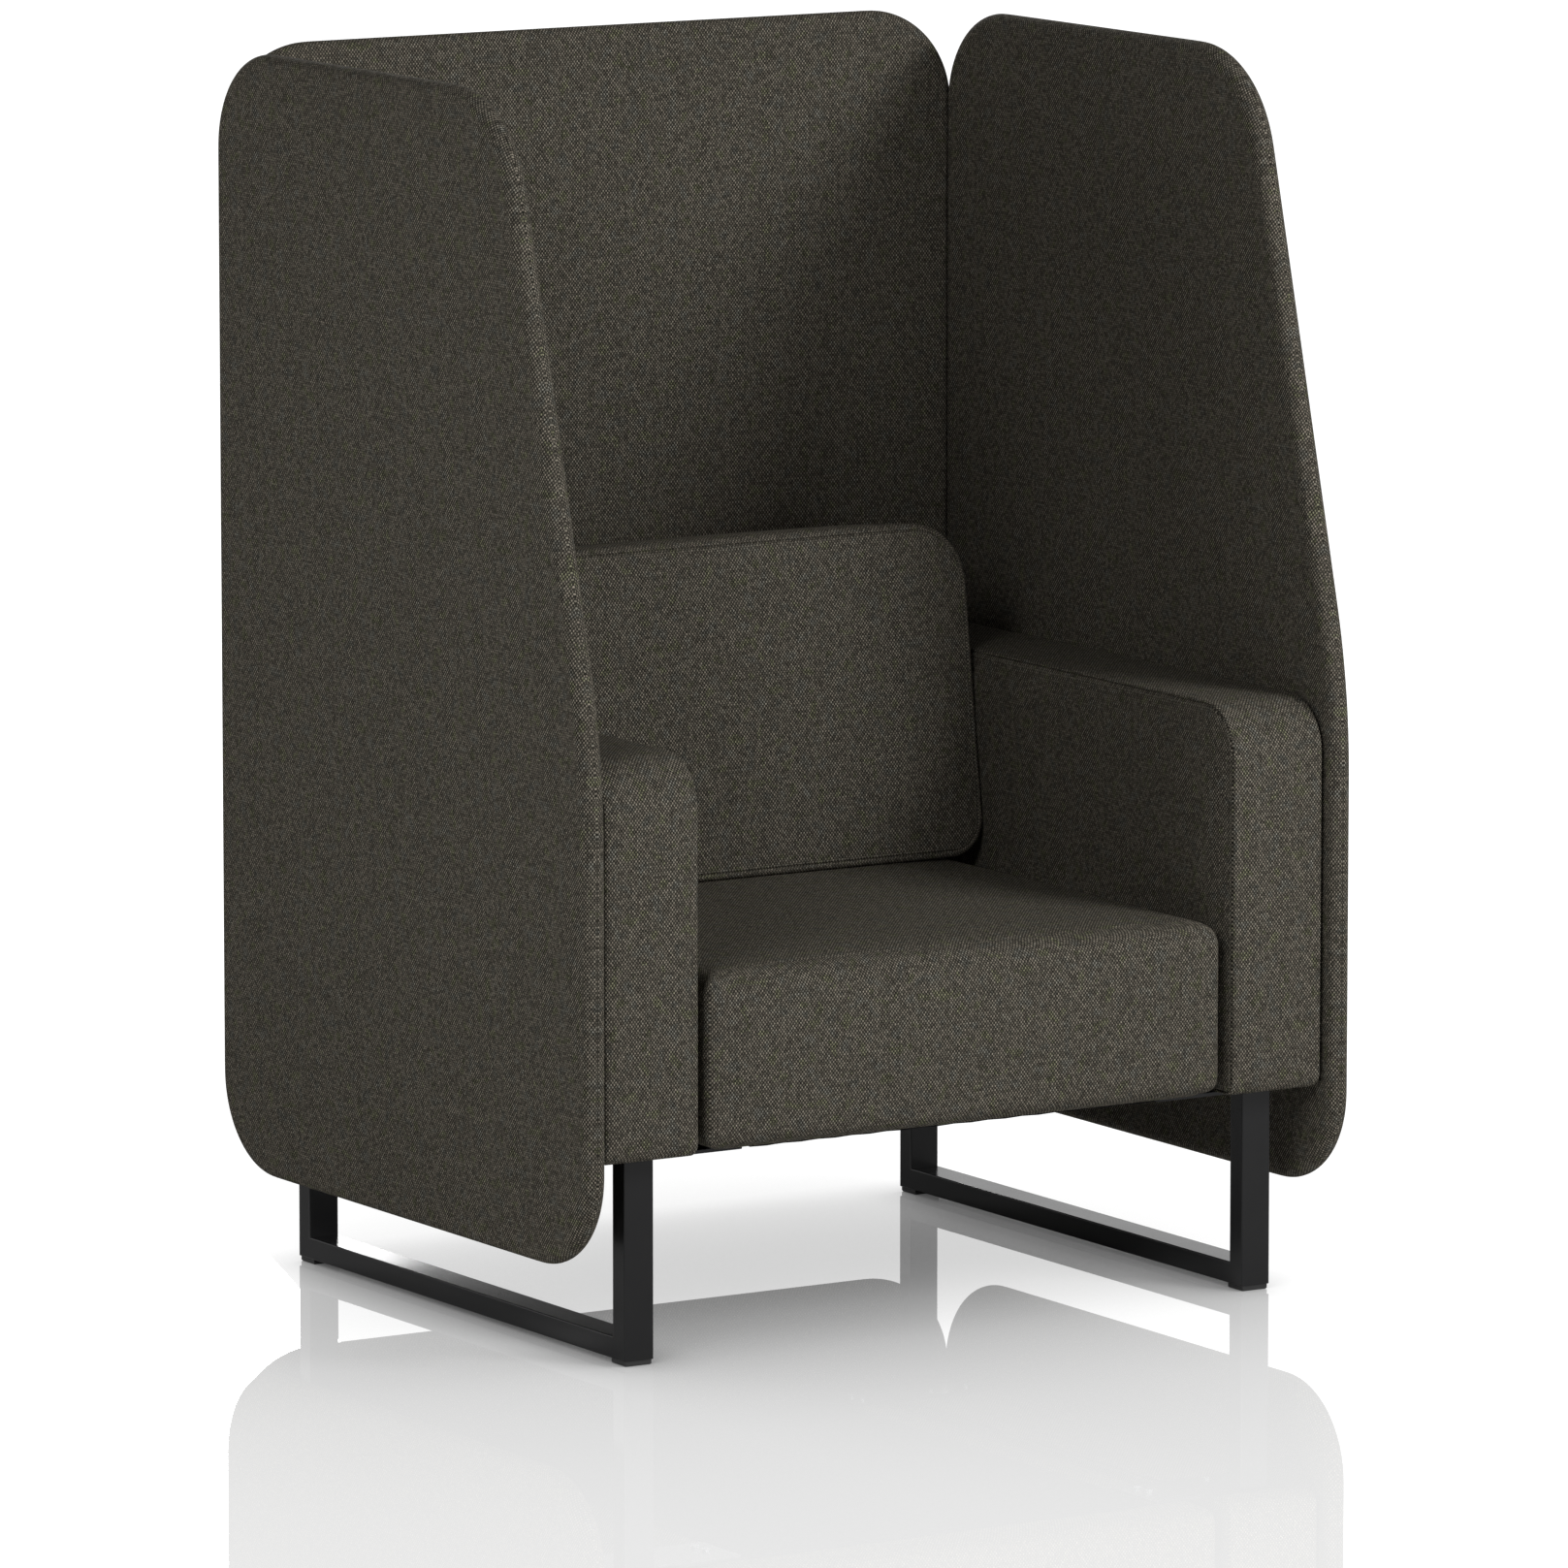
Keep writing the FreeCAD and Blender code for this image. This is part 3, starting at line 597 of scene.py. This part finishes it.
# Finishes
def two_tone_weave(look):
    """Plain weave on the cloth coordinates, counted in yarns.

    The pale warp is on top where the two counts add up to an even number, the dark weft elsewhere. A yarn's
    height is cos across it times a lower cos along it. Its colour is darker where it dips: painted shade in the
    gaps between yarns."""
    material, wire, shader = new_finish("two_tone_weave", Roughness=0.95, Specular_IOR_Level=0.05)
    cloth = wire.node("ShaderNodeUVMap", {"uv_map": "weave"})
    drift = noise(wire, cloth, 60.0, 2.0, "2D")
    split = wire.node("ShaderNodeSeparateXYZ", None, {0: cloth})
    warp = split * (1.0 / look.warp_pitch) + (drift - 0.5) * 0.5
    weft = split.also("Y") * (1.0 / look.weft_pitch) + (drift - 0.5) * 0.4
    i = warp.math("FLOOR")
    j = weft.math("FLOOR")
    over = (i + j).math("FLOORED_MODULO", 2.0)
    cos_a = ((warp - i - 0.5) * math.pi).math("COSINE")
    cos_b = ((weft - j - 0.5) * math.pi).math("COSINE")
    warp_height = cos_a * (cos_b * 0.6 + 0.4)
    weft_height = cos_b * (cos_a * 0.6 + 0.4)
    height = warp_height + over * (weft_height - warp_height)
    cell = wire.node("ShaderNodeCombineXYZ", None, {0: i, 1: j})
    chance = wire.node("ShaderNodeTexWhiteNoise", {"noise_dimensions": "2D"}, {"Vector": cell})
    patch = noise(wire, cloth, 55.0, 2.0, "2D")
    tints = [(0.30, look.slate), (0.40, look.pale), (0.56, look.brown),
             (0.62, look.pale), (0.68, look.olive)]
    pale = patch.node("ShaderNodeValToRGB", {"stops": tints}, {0: patch})
    slub = noise(wire, cloth, 230.0, 1.0, "2D")
    # random tone per yarn and slub, times painted shade: darker where the yarn height is low, in the gaps
    # between yarns
    tone = (chance * 0.9 + 0.55) * (slub * 0.7 + 0.65) * (height * 1.1 + 0.25)
    woven = over.mix(pale, rgba(look.dark)).tint(tone)
    fuzz = noise(wire, cloth, 2600.0, 2.0, "2D")
    feed(shader, Base_Color=woven, Normal=bump(height + fuzz * 0.35, 0.55, 0.0005))
    return material


def seam_thread(look):
    """Polyester thread with a fine twist."""
    material, wire, shader = new_finish("seam_thread", Roughness=0.6, Specular_IOR_Level=0.2)
    twist = noise(wire, object_place(wire), 1500.0, 1.0)
    feed(shader, Base_Color=twist.mix(rgba(look.thread, 0.6), rgba(look.thread)),
         Normal=bump(twist, 0.4, 0.0002))
    return material


def powder_coat(look):
    """Satin black coat: fine orange peel in the bump, cloudy gloss and a pale speck here and there."""
    material, wire, shader = new_finish("powder_coat", Specular_IOR_Level=0.26)
    place = object_place(wire)
    peel = noise(wire, place, 900.0, 2.0)
    cloud = noise(wire, place, 14.0, 3.0)
    speck = noise(wire, place, 2400.0, 0.0).math("SMOOTH_MAX", 0.62, 0.02) - 0.62
    tone_low, tone_high = rgba(look.coat), rgba([c * 1.5 + 0.002 for c in look.coat])
    feed(shader, Base_Color=(cloud * 0.6 + speck * 2.0).mix(tone_low, tone_high),
         Roughness=cloud * 0.10 + 0.17, Normal=bump(peel, 0.12, 0.0002))
    return material


def moulded_plastic(look):
    """Black polypropylene with a spark-eroded grain."""
    material, wire, shader = new_finish("moulded_plastic", Specular_IOR_Level=0.4)
    grain = noise(wire, object_place(wire), 1300.0, 3.0)
    feed(shader, Base_Color=grain.mix(rgba(look.plastic, 0.7), rgba(look.plastic, 1.6)),
         Roughness=grain * 0.2 + 0.42, Normal=bump(grain, 0.3, 0.0002))
    return material


def zinc_plate(look):
    """Bright zinc: metallic, with a faint crystal pattern in tone and gloss."""
    material, wire, shader = new_finish("zinc_plate", Metallic=1.0)
    inputs = {"Vector": object_place(wire), "Scale": 420.0}
    crystal = wire.node("ShaderNodeTexVoronoi", None, inputs, "Distance")
    feed(shader, Base_Color=crystal.mix(rgba(look.zinc, 0.85), rgba(look.zinc)),
         Roughness=crystal * 0.2 + 0.24)
    return material


def elastic_webbing(look):
    """Herringbone straps: saw-tooth ridges along y turned by a step every 6 mm."""
    material, wire, shader = new_finish("elastic_webbing", Roughness=0.8)
    split = wire.node("ShaderNodeSeparateXYZ", None, {0: object_place(wire)})
    zig = (split.also("Y") * 160.0).math("PINGPONG", 0.5)
    ridge = ((split * 400.0 + zig * 4.0).math("FRACT") - 0.5).math("ABSOLUTE") * 2.0
    feed(shader, Base_Color=ridge.mix(rgba(look.webbing, 0.5), rgba(look.webbing, 1.8)),
         Normal=bump(ridge, 0.5, 0.0005))
    return material


def spunbond_sheet(look):
    """Spunbonded sheet: bonded dots on a 3 mm lattice over tangled fibre."""
    material, wire, shader = new_finish("spunbond_sheet", Roughness=0.95, Specular_IOR_Level=0.1)
    place = object_place(wire)
    split = wire.node("ShaderNodeSeparateXYZ", None, {0: place})
    dots = (split * 2094.0).math("COSINE") * (split.also("Y") * 2094.0).math("COSINE")
    fibre = noise(wire, place, 700.0, 4.0)
    feed(shader, Base_Color=fibre.mix(rgba(look.dust, 0.6), rgba(look.dust, 1.9)),
         Normal=bump(dots * 0.5 + fibre, 0.5, 0.0004))
    return material


def planed_timber(look):
    """Softwood: growth rings as a sine of a stretched, wandering distance, with fine pores along x."""
    material, wire, shader = new_finish("planed_timber", Roughness=0.6)
    place = wire.node("ShaderNodeMapping", None, {"Vector": object_place(wire), "Scale": (1.0, 6.0, 6.0)})
    wander = noise(wire, place, 6.0, 3.0)
    rings = (wander * 55.0).math("SINE") * 0.5 + 0.5
    pores = noise(wire, place, 260.0, 2.0)
    grain = rings * 0.7 + pores * 0.3
    feed(shader, Base_Color=grain.mix(rgba(look.timber, 0.62), rgba(look.timber)),
         Normal=bump(pores, 0.2, 0.0003))
    return material


def birch_board(look):
    """Plywood: rotary-cut veneer figure with short dark pores."""
    material, wire, shader = new_finish("birch_board", Roughness=0.55)
    place = wire.node("ShaderNodeMapping", None, {"Vector": object_place(wire), "Scale": (4.0, 4.0, 1.0)})
    figure = noise(wire, place, 5.0, 5.0)
    pores = noise(wire, place, 420.0, 1.0)
    grain = figure * 0.75 + pores * 0.25
    feed(shader, Base_Color=grain.mix(rgba(look.board, 0.7), rgba(look.board, 1.15)),
         Normal=bump(pores, 0.15, 0.0003))
    return material


def finish_once(name, build, look):
    """The named finish, made on its first use."""
    return bpy.data.materials.get(name) or build(look)


def repaint(names, material):
    """Gives CAD nodes a finish in their own slots."""
    for name in names:
        for slot in NODES[name].material_slots:
            slot.material = material


# Pieces
ROUND_STEPS = (0, 15, 30, 45, 60, 75, 90)
REAR_STEPS = (0, 22, 45, 67, 90)
WALL_STEPS = (0.22, 0.36, 0.5, 0.64, 0.78)
BACKREST_STEPS = (0.12, 0.3, 0.5, 0.7, 0.88)
WATERFALL_STEPS = (0, 11, 22, 34, 45, 56, 68, 79, 90)
SCREEN_CROWN = 0.6 * MM
SEAT_CROWN = 3.5 * MM
BACKREST_CROWN = 1.5 * MM
BACKREST_FACE = 5 * MM
ARM_OUTER_EDGE = 5 * MM
ARM_DROP = 0.7 * MM
ARM_FOOT_HELD = 12 * MM
SEAT_UNDER = 4.8 * MM


class BOOTH_OT_screens(bpy.types.Operator):
    """Builds the two side screens and the back screen: padded panels with a full round rim"""

    bl_idname = "booth.screens"
    bl_label = "Padded Screens"

    def execute(self, context):
        sizes = context.scene.booth_screens
        fabric = finish_once("two_tone_weave", two_tone_weave, context.scene.booth_fabric)
        rim = round_edge(sizes.edge, 0.0, 1.0, ROUND_STEPS)
        rim += round_edge(sizes.edge, sizes.thickness, -1.0, ROUND_STEPS)[::-1]
        inner, front, rear = SIDE_LOW.x, SIDE_LOW.y, SIDE_HIGH.y
        low, high = SIDE_LOW.z, SIDE_HIGH.z
        side = [(front, low), (rear, low), (rear, high),
                (rear - sizes.level_top, high), (front, sizes.knee_height)]
        radii = [sizes.corner, sizes.corner, sizes.corner, sizes.front_corner, sizes.knee]
        for name, way in SIDES.items():
            form = padded_form(lambda depth: side, radii, 16, (24, 56, 24, 24, 16), rim,
                               lambda a, b, d, way=way: np.stack([way * (inner + d), a, b], axis=1),
                               crown=(0.0, SCREEN_CROWN), wrap=True)
            self.add(name + "_side_screen", form, fabric, name + "_side_screen_cover")
        half = BACK_HIGH.x
        back = [(-half, low), (half, low), (half, high), (-half, high)]
        form = padded_form(lambda depth: back, [sizes.corner] * 4, 16, (36, 48, 36, 48), rim,
                           lambda a, b, d: np.stack([a, BACK_LOW.y + d, b], axis=1),
                           crown=(SCREEN_CROWN, SCREEN_CROWN), wrap=True)
        self.add("back_screen", form, fabric, "back_screen_cover")
        return {"FINISHED"}

    def add(self, name, form, fabric, node):
        piece = add_mesh(name, form.points, form.faces, form.cloth)
        refine(piece)
        dress(piece, fabric, [node])


class BOOTH_OT_arms(bpy.types.Operator):
    """Builds the padded arms, each with a sewn inner panel"""

    bl_idname = "booth.arms"
    bl_label = "Arms"

    def execute(self, context):
        sizes = context.scene.booth_arms
        look = context.scene.booth_fabric
        fabric = finish_once("two_tone_weave", two_tone_weave, look)
        thread = finish_once("seam_thread", seam_thread, look)
        bottom = ARM_LOW.z - ARM_DROP
        front, rear, top = ARM_LOW.y + sizes.trim, ARM_HIGH.y - sizes.trim, ARM_HIGH.z - sizes.trim
        outline = [(front, bottom), (rear, bottom), (rear, top), (front, top)]
        radii = [sizes.foot, sizes.foot, sizes.rear_top, sizes.nose]
        layers = sewn_edge(sizes.edge, sizes.inside + sizes.roll, sizes.seam, sizes.roll)
        outside = ARM_HIGH.x - sizes.gap
        layers += [(sizes.inside + share * (outside - sizes.inside), 0.0) for share in WALL_STEPS]
        layers += round_edge(ARM_OUTER_EDGE, outside, -1.0, REAR_STEPS)[::-1]
        for name, way in SIDES.items():
            form = padded_form(lambda depth: outline, radii, 10, (56, 28, 56, 28), layers,
                               lambda a, b, d, way=way: np.stack([way * d, a, b], axis=1),
                               turn_strip=True, sewn=SEAM_ROW)
            piece = add_mesh(name + "_arm", form.points, form.faces, form.cloth)
            under = np.flatnonzero(form.points[:, 2] < bottom + ARM_FOOT_HELD)
            held = [form.rows[SEAM_ROWS].ravel(), form.rows[-5:].ravel(), form.rear.ravel(), under]
            puff(piece, np.concatenate(held), sizes.puff, sizes.pressure)
            stitches = seam_stitches(name + "_arm_stitches", piece, form.rows)
            refine(piece)
            dress(piece, fabric, [name + "_arm_cover"])
            dress(stitches, thread)
        return {"FINISHED"}


class BOOTH_OT_seat(bpy.types.Operator):
    """Builds the seat cushion with its waterfall edge"""

    bl_idname = "booth.seat"
    bl_label = "Seat Cushion"

    def execute(self, context):
        sizes = context.scene.booth_seat
        fabric = finish_once("two_tone_weave", two_tone_weave, context.scene.booth_fabric)
        half, front, rear = sizes.half, SEAT_LOW.y, SEAT_HIGH.y
        outline = [(-half, front), (half, front), (half, rear), (-half, rear)]
        depth = sizes.top - SEAT_LOW.z
        wall = depth - sizes.top_edge - sizes.lower_edge
        layers = round_edge(sizes.top_edge, 0.0, 1.0, WATERFALL_STEPS)
        layers += [(sizes.top_edge + wall * share / 11, 0.0) for share in range(1, 11)]
        layers += round_edge(sizes.lower_edge, depth, -1.0, (0, 18, 36, 54, 72, 90))[::-1]
        layers += [(depth + SEAT_UNDER, sizes.lower_edge + inset) for inset in (5 * MM, 25 * MM)]
        form = padded_form(lambda d: outline, [sizes.corner] * 4, 8, (48, 54, 48, 54), layers,
                           lambda a, b, d: np.stack([a, b, sizes.top - d], axis=1), crown=(SEAT_CROWN, 0.0))
        piece = add_mesh("seat", form.points, form.faces, form.cloth)
        held = [form.rows[-6:].ravel(), form.rear.ravel()]
        puff(piece, np.concatenate(held), sizes.puff, sizes.pressure)
        refine(piece)
        dress(piece, fabric, ["seat_cushion"])
        return {"FINISHED"}


class BOOTH_OT_backrest(bpy.types.Operator):
    """Builds the leaning backrest with its sewn front panel"""

    bl_idname = "booth.backrest"
    bl_label = "Backrest"

    def execute(self, context):
        sizes = context.scene.booth_backrest
        look = context.scene.booth_fabric
        fabric = finish_once("two_tone_weave", two_tone_weave, look)
        thread = finish_once("seam_thread", seam_thread, look)
        sin, cos = math.sin(sizes.lean), math.cos(sizes.lean)

        def outline(depth):
            half = sizes.half - sizes.trim
            low = (sizes.bottom + sizes.trim + depth * sin) / cos
            high = (sizes.top - sizes.trim) / cos
            return [(-half, low), (half, low), (half, high), (-half, high)]

        def lean_back(a, b, d):
            return np.stack([a, sizes.foot + b * sin + d * cos, b * cos - d * sin], axis=1)

        face = BACKREST_FACE
        layers = sewn_edge(sizes.edge, face, sizes.seam)
        layers += [(face + sizes.edge + share * (sizes.thickness - face - 2 * sizes.edge), 0.0)
                   for share in BACKREST_STEPS]
        layers += round_edge(sizes.edge, sizes.thickness, -1.0, REAR_STEPS)[::-1]
        layers += [(sizes.thickness - 2.5 * MM, sizes.edge + 22 * MM)]
        radii = [sizes.low_corner, sizes.low_corner, sizes.top_corner, sizes.top_corner]
        form = padded_form(outline, radii, 12, (46, 20, 46, 20), layers, lean_back,
                           crown=(BACKREST_CROWN, 0.0), sewn=SEAM_ROW)
        piece = add_mesh("backrest", form.points, form.faces, form.cloth)
        under = np.flatnonzero(form.points[:, 2] < sizes.bottom + sizes.trim + 1 * MM)
        held = [form.rows[SEAM_ROWS].ravel(), form.rows[-6:].ravel(), form.rear.ravel(), under]
        puff(piece, np.concatenate(held), sizes.puff, sizes.pressure)
        stitches = seam_stitches("backrest_stitches", piece, form.rows)
        refine(piece)
        dress(piece, fabric, ["backrest_cushion"])
        dress(stitches, thread)
        return {"FINISHED"}


class BOOTH_OT_sleds(bpy.types.Operator):
    """Builds the two mitred sled frames of rectangular tube"""

    bl_idname = "booth.sleds"
    bl_label = "Sled Frames"

    def execute(self, context):
        sizes = context.scene.booth_sleds
        coat = finish_once("powder_coat", powder_coat, context.scene.booth_hard)
        for name, way in SIDES.items():
            piece = self.frame(name + "_sled", way, sizes)
            nodes = [name + "_sled_" + part for part in ("rail", "front_post", "rear_post")]
            dress(piece, coat, nodes)
        return {"FINISHED"}

    def frame(self, name, way, sizes):
        """Tube along a square U: point = corner of the middle line + v out, with u across the tube.

        (u, v) runs round the rounded section, and out points away from the U, slanted at a mitre."""
        middle = way * (RAIL_LOW.x + RAIL_HIGH.x) / 2
        deep = (RAIL_HIGH.z - RAIL_LOW.z) / 2
        wide = sizes.width / 2
        section = [(-wide, -deep), (wide, -deep), (wide, deep), (-wide, deep)]
        loop = corner_loop(section, [sizes.edge] * 4, 6, (1, 1, 1, 1), 0.0)[0]
        front, rear, low = RAIL_LOW.y + deep, RAIL_HIGH.y - deep, RAIL_LOW.z + deep
        corners = np.array([(rear, POST_TOP), (rear, low), (front, low), (front, POST_TOP)])
        out = np.array([(1.0, 0.0), (1.0, -1.0), (-1.0, -1.0), (-1.0, 0.0)])
        ring = corners[:, None] + out[:, None] * loop[None, :, 1:]
        across = np.broadcast_to(middle + loop[None, :, :1], ring[..., :1].shape)
        points = np.concatenate([across, ring], axis=2).reshape(-1, 3)
        grid = np.arange(len(points)).reshape(4, -1)
        piece = add_mesh(name, points, ring_quads(grid).tolist() + grid[[0, -1]].tolist())
        piece.data.set_sharp_from_angle(angle=math.radians(40))
        flats = piece.modifiers.new("flats", "WEIGHTED_NORMAL")
        flats.keep_sharp = True
        return piece


class BOOTH_OT_steel(bpy.types.Operator):
    """Finishes the plates, bars, glides and fasteners"""

    bl_idname = "booth.steel"
    bl_label = "Steel and Glides"

    def execute(self, context):
        look = context.scene.booth_hard
        coated = ["%s_%s" % (side, part) for side in SIDES
                  for part in ("front_plate", "rear_plate", "back_bracket")]
        repaint(coated, finish_once("powder_coat", powder_coat, look))
        glides = ["%s_%s_glide" % (side, end) for side in SIDES for end in ("front", "rear")]
        repaint(glides, finish_once("moulded_plastic", moulded_plastic, look))
        fixings = ["%s_side_screen_%s" % (side, part) for side in SIDES for part in ("bolts", "inserts")]
        fixings += ["back_screen_bolts", "back_screen_inserts", "plate_screws", "back_bracket_bolts"]
        repaint(fixings, finish_once("zinc_plate", zinc_plate, look))
        return {"FINISHED"}


class BOOTH_OT_inner(bpy.types.Operator):
    """Finishes the timber, boards and webbing"""

    bl_idname = "booth.inner"
    bl_label = "Inner Frame"

    def execute(self, context):
        look = context.scene.booth_hard
        timber = ["%s_arm_frame" % side for side in SIDES] + ["seat_frame", "seat_corner_blocks"]
        repaint(timber, finish_once("planed_timber", planed_timber, look))
        boards = ["%s_%s" % (side, part) for side in SIDES
                  for part in ("side_screen_board", "arm_inner_ply", "arm_outer_ply")]
        boards += ["back_screen_board", "backrest_panel"]
        repaint(boards, finish_once("birch_board", birch_board, look))
        repaint(["seat_webbing"], finish_once("elastic_webbing", elastic_webbing, look))
        return {"FINISHED"}


class BOOTH_OT_dust_sheet(bpy.types.Operator):
    """Stretches the dust sheet under the seat"""

    bl_idname = "booth.dust_sheet"
    bl_label = "Dust Sheet"

    def execute(self, context):
        """z = edge - sag (1 - p^2)(1 - q^2) + ripple (p^8 cos y + q^8 cos x), p and q from -1 to 1."""
        sizes = context.scene.booth_dust
        p, q = np.meshgrid(np.linspace(-1.0, 1.0, 49), np.linspace(-1.0, 1.0, 65))
        x = p * sizes.width / 2
        y = q * sizes.depth / 2 + (DUST_LOW.y + DUST_HIGH.y) / 2
        wave = 2 * math.pi / sizes.staple
        pulls = p ** 8 * np.cos(wave * y) + q ** 8 * np.cos(wave * x)
        z = DUST_LOW.z - 0.6 * MM - sizes.sag * (1 - p ** 2) * (1 - q ** 2) + sizes.ripple * pulls
        points = np.stack([x, y, z], axis=2).reshape(-1, 3)
        grid = np.arange(len(points)).reshape(x.shape)
        piece = add_mesh("dust_sheet", points, quads_of(grid).reshape(-1, 4))
        wall = piece.modifiers.new("wall", "SOLIDIFY")
        wall.thickness = 0.4 * MM
        dress(piece, finish_once("spunbond_sheet", spunbond_sheet, context.scene.booth_hard),
              ["seat_dust_sheet"])
        return {"FINISHED"}


# Studio
EYE = (-7.14016, -11.54006, 2.65556)
EYE_RIGHT = (0.85008, -0.52666, 0.0)
EYE_UP = (0.08012, 0.12933, 0.98836)
EYE_BACK = (-0.52052, -0.84018, 0.15214)
LAMPS = (
    ("key", (2.717, -4.348, 3.817), 2.0, 225.0),
    ("fill", (-4.443, -2.885, 3.517), 2.4, 100.0),
    ("left", (-5.938, -0.207, 1.535), 2.6, 54.0),
    ("front", (0.518, -5.919, 1.535), 2.6, 60.0),
    ("rear", (1.5, 5.7, 2.0), 2.6, 190.0),
)
LAMP_AIM = Vector((0.0, 0.0, 0.7))
FLOOR_REACH = 60.0
FLOOR_SPOKES = 48


class BOOTH_OT_stage(bpy.types.Operator):
    """Sets the camera, the soft lights, the white surround and the glossy floor"""

    bl_idname = "booth.stage"
    bl_label = "Studio"

    def execute(self, context):
        setup = context.scene.booth_studio
        scene = context.scene
        scene.view_settings.view_transform = "Standard"
        self.camera(scene, setup)
        for name, place, size, watts in LAMPS:
            self.lamp(scene, name, place, size, watts)
        self.surround(scene, setup)
        self.floor(setup)
        return {"FINISHED"}

    def camera(self, scene, setup):
        lens = bpy.data.cameras.new("camera")
        lens.lens = setup.lens
        lens.sensor_width = 36.0
        lens.clip_end = 200.0
        eye = bpy.data.objects.new("camera", lens)
        axes = Matrix((EYE_RIGHT, EYE_UP, EYE_BACK)).transposed().to_4x4()
        eye.matrix_world = Matrix.Translation(EYE) @ axes
        scene.collection.objects.link(eye)
        scene.camera = eye

    def lamp(self, scene, name, place, size, watts):
        light = bpy.data.lights.new(name, "AREA")
        light.shape = "DISK"
        light.size = size
        light.energy = watts
        lamp = bpy.data.objects.new(name, light)
        lamp.location = place
        lamp.rotation_euler = (LAMP_AIM - Vector(place)).to_track_quat("-Z", "Y").to_euler()
        lamp.visible_camera = False
        scene.collection.objects.link(lamp)

    def surround(self, scene, setup):
        """White to the camera and to mirrors, a dimmer white as light."""
        world = bpy.data.worlds.new("surround")
        world.use_nodes = True
        scene.world = world
        tree = world.node_tree
        path = Wire(tree).node("ShaderNodeLightPath", output="Is Camera Ray")
        mirrored = path.math("MAXIMUM", path.also("Is Glossy Ray"))
        seen = mirrored.math("MAXIMUM", path.also("Is Transmission Ray"))
        sky = tree.nodes["Background"]
        sky.inputs["Color"].default_value = (1.0, 1.0, 1.0, 1.0)
        tree.links.new((seen * (1.0 - setup.ambient) + setup.ambient).socket, sky.inputs["Strength"])

    def floor(self, setup):
        """Flat disc: rings of growing radius."""
        radius = np.concatenate([[0.02], np.geomspace(0.5, FLOOR_REACH, 16)])
        angle = np.linspace(0.0, 2 * math.pi, FLOOR_SPOKES + 1)[:-1]
        x = np.outer(radius, np.cos(angle)).ravel()
        y = np.outer(radius, np.sin(angle)).ravel()
        grid = np.arange(x.size).reshape(-1, FLOOR_SPOKES)
        faces = ring_quads(grid).tolist() + [grid[0].tolist()]
        disc = add_mesh("floor", np.stack([x, y, np.zeros_like(x)], axis=1), faces)
        disc.data.materials.append(self.floor_finish(setup))

    def floor_finish(self, setup):
        """White floor under a clear mirror coat. To the camera, a share of it is a white emission dimmed where
        the sofa hides the open sky, a painted soft shadow of an even light all round, and dimmed further close
        under the sled rails, a painted contact shadow."""
        material = bpy.data.materials.new("studio_floor")
        material.use_nodes = True
        tree = material.node_tree
        tree.nodes.remove(tree.nodes["Principled BSDF"])
        wire = Wire(tree)
        camera = wire.node("ShaderNodeLightPath", output="Is Camera Ray")
        lit = wire.node("ShaderNodeBsdfDiffuse", None, {"Color": (0.9, 0.9, 0.9, 1.0)})
        open_sky = wire.node("ShaderNodeAmbientOcclusion", {"samples": 16}, {"Distance": setup.reach})
        near = wire.node("ShaderNodeAmbientOcclusion", {"samples": 8}, {"Distance": setup.contact})
        soft = open_sky.also("AO") * (setup.bright - setup.lift) + setup.lift
        # painted shadow: white dimmed by ambient occlusion round the sofa and, more darkly, close under the
        # sled rails
        plain = wire.node("ShaderNodeEmission", None, {"Color": soft * (near.also("AO") * 0.6 + 0.4)})
        base = wire.node("ShaderNodeMixShader", None, {0: camera * setup.white, 1: lit, 2: plain})
        mirror = wire.node("ShaderNodeBsdfGlossy", None, {"Color": camera * setup.gloss, "Roughness": 0.0})
        coated = wire.node("ShaderNodeAddShader", None, {0: base, 1: mirror})
        tree.links.new(coated.socket, tree.nodes["Material Output"].inputs["Surface"])
        return material


class BOOTH_PT_panel(bpy.types.Panel):
    """Lists the booth's steps and sizes"""

    bl_idname = "BOOTH_PT_panel"
    bl_label = "Booth Sofa"
    bl_space_type = "VIEW_3D"
    bl_region_type = "UI"
    bl_category = "Booth"

    def draw(self, context):
        for operator in STEPS:
            self.layout.operator(operator.bl_idname)
        for name in GROUPS:
            box = self.layout.box()
            group = getattr(context.scene, name)
            for key in group.bl_rna.properties.keys():
                if key not in ("rna_type", "name"):
                    box.prop(group, key)


GROUPS = {
    "booth_screens": BoothScreenSizes,
    "booth_arms": BoothArmSizes,
    "booth_seat": BoothSeatSizes,
    "booth_backrest": BoothBackrestSizes,
    "booth_sleds": BoothSledSizes,
    "booth_dust": BoothDustSizes,
    "booth_fabric": BoothFabricLook,
    "booth_hard": BoothHardLook,
    "booth_studio": BoothStudio,
}
STEPS = (BOOTH_OT_screens, BOOTH_OT_arms, BOOTH_OT_seat, BOOTH_OT_backrest, BOOTH_OT_sleds, BOOTH_OT_steel,
         BOOTH_OT_inner, BOOTH_OT_dust_sheet, BOOTH_OT_stage)


def register():
    for name, group in GROUPS.items():
        bpy.utils.register_class(group)
        setattr(bpy.types.Scene, name, bpy.props.PointerProperty(type=group))
    for operator in STEPS:
        bpy.utils.register_class(operator)
    bpy.utils.register_class(BOOTH_PT_panel)


def unregister():
    bpy.utils.unregister_class(BOOTH_PT_panel)
    for operator in reversed(STEPS):
        bpy.utils.unregister_class(operator)
    for name, group in reversed(GROUPS.items()):
        delattr(bpy.types.Scene, name)
        bpy.utils.unregister_class(group)


def main():
    register()
    bpy.ops.booth.screens()
    bpy.ops.booth.arms()
    bpy.ops.booth.seat()
    bpy.ops.booth.backrest()
    bpy.ops.booth.sleds()
    bpy.ops.booth.steel()
    bpy.ops.booth.inner()
    bpy.ops.booth.dust_sheet()
    bpy.ops.booth.stage()


if __name__ == "__main__":
    main()
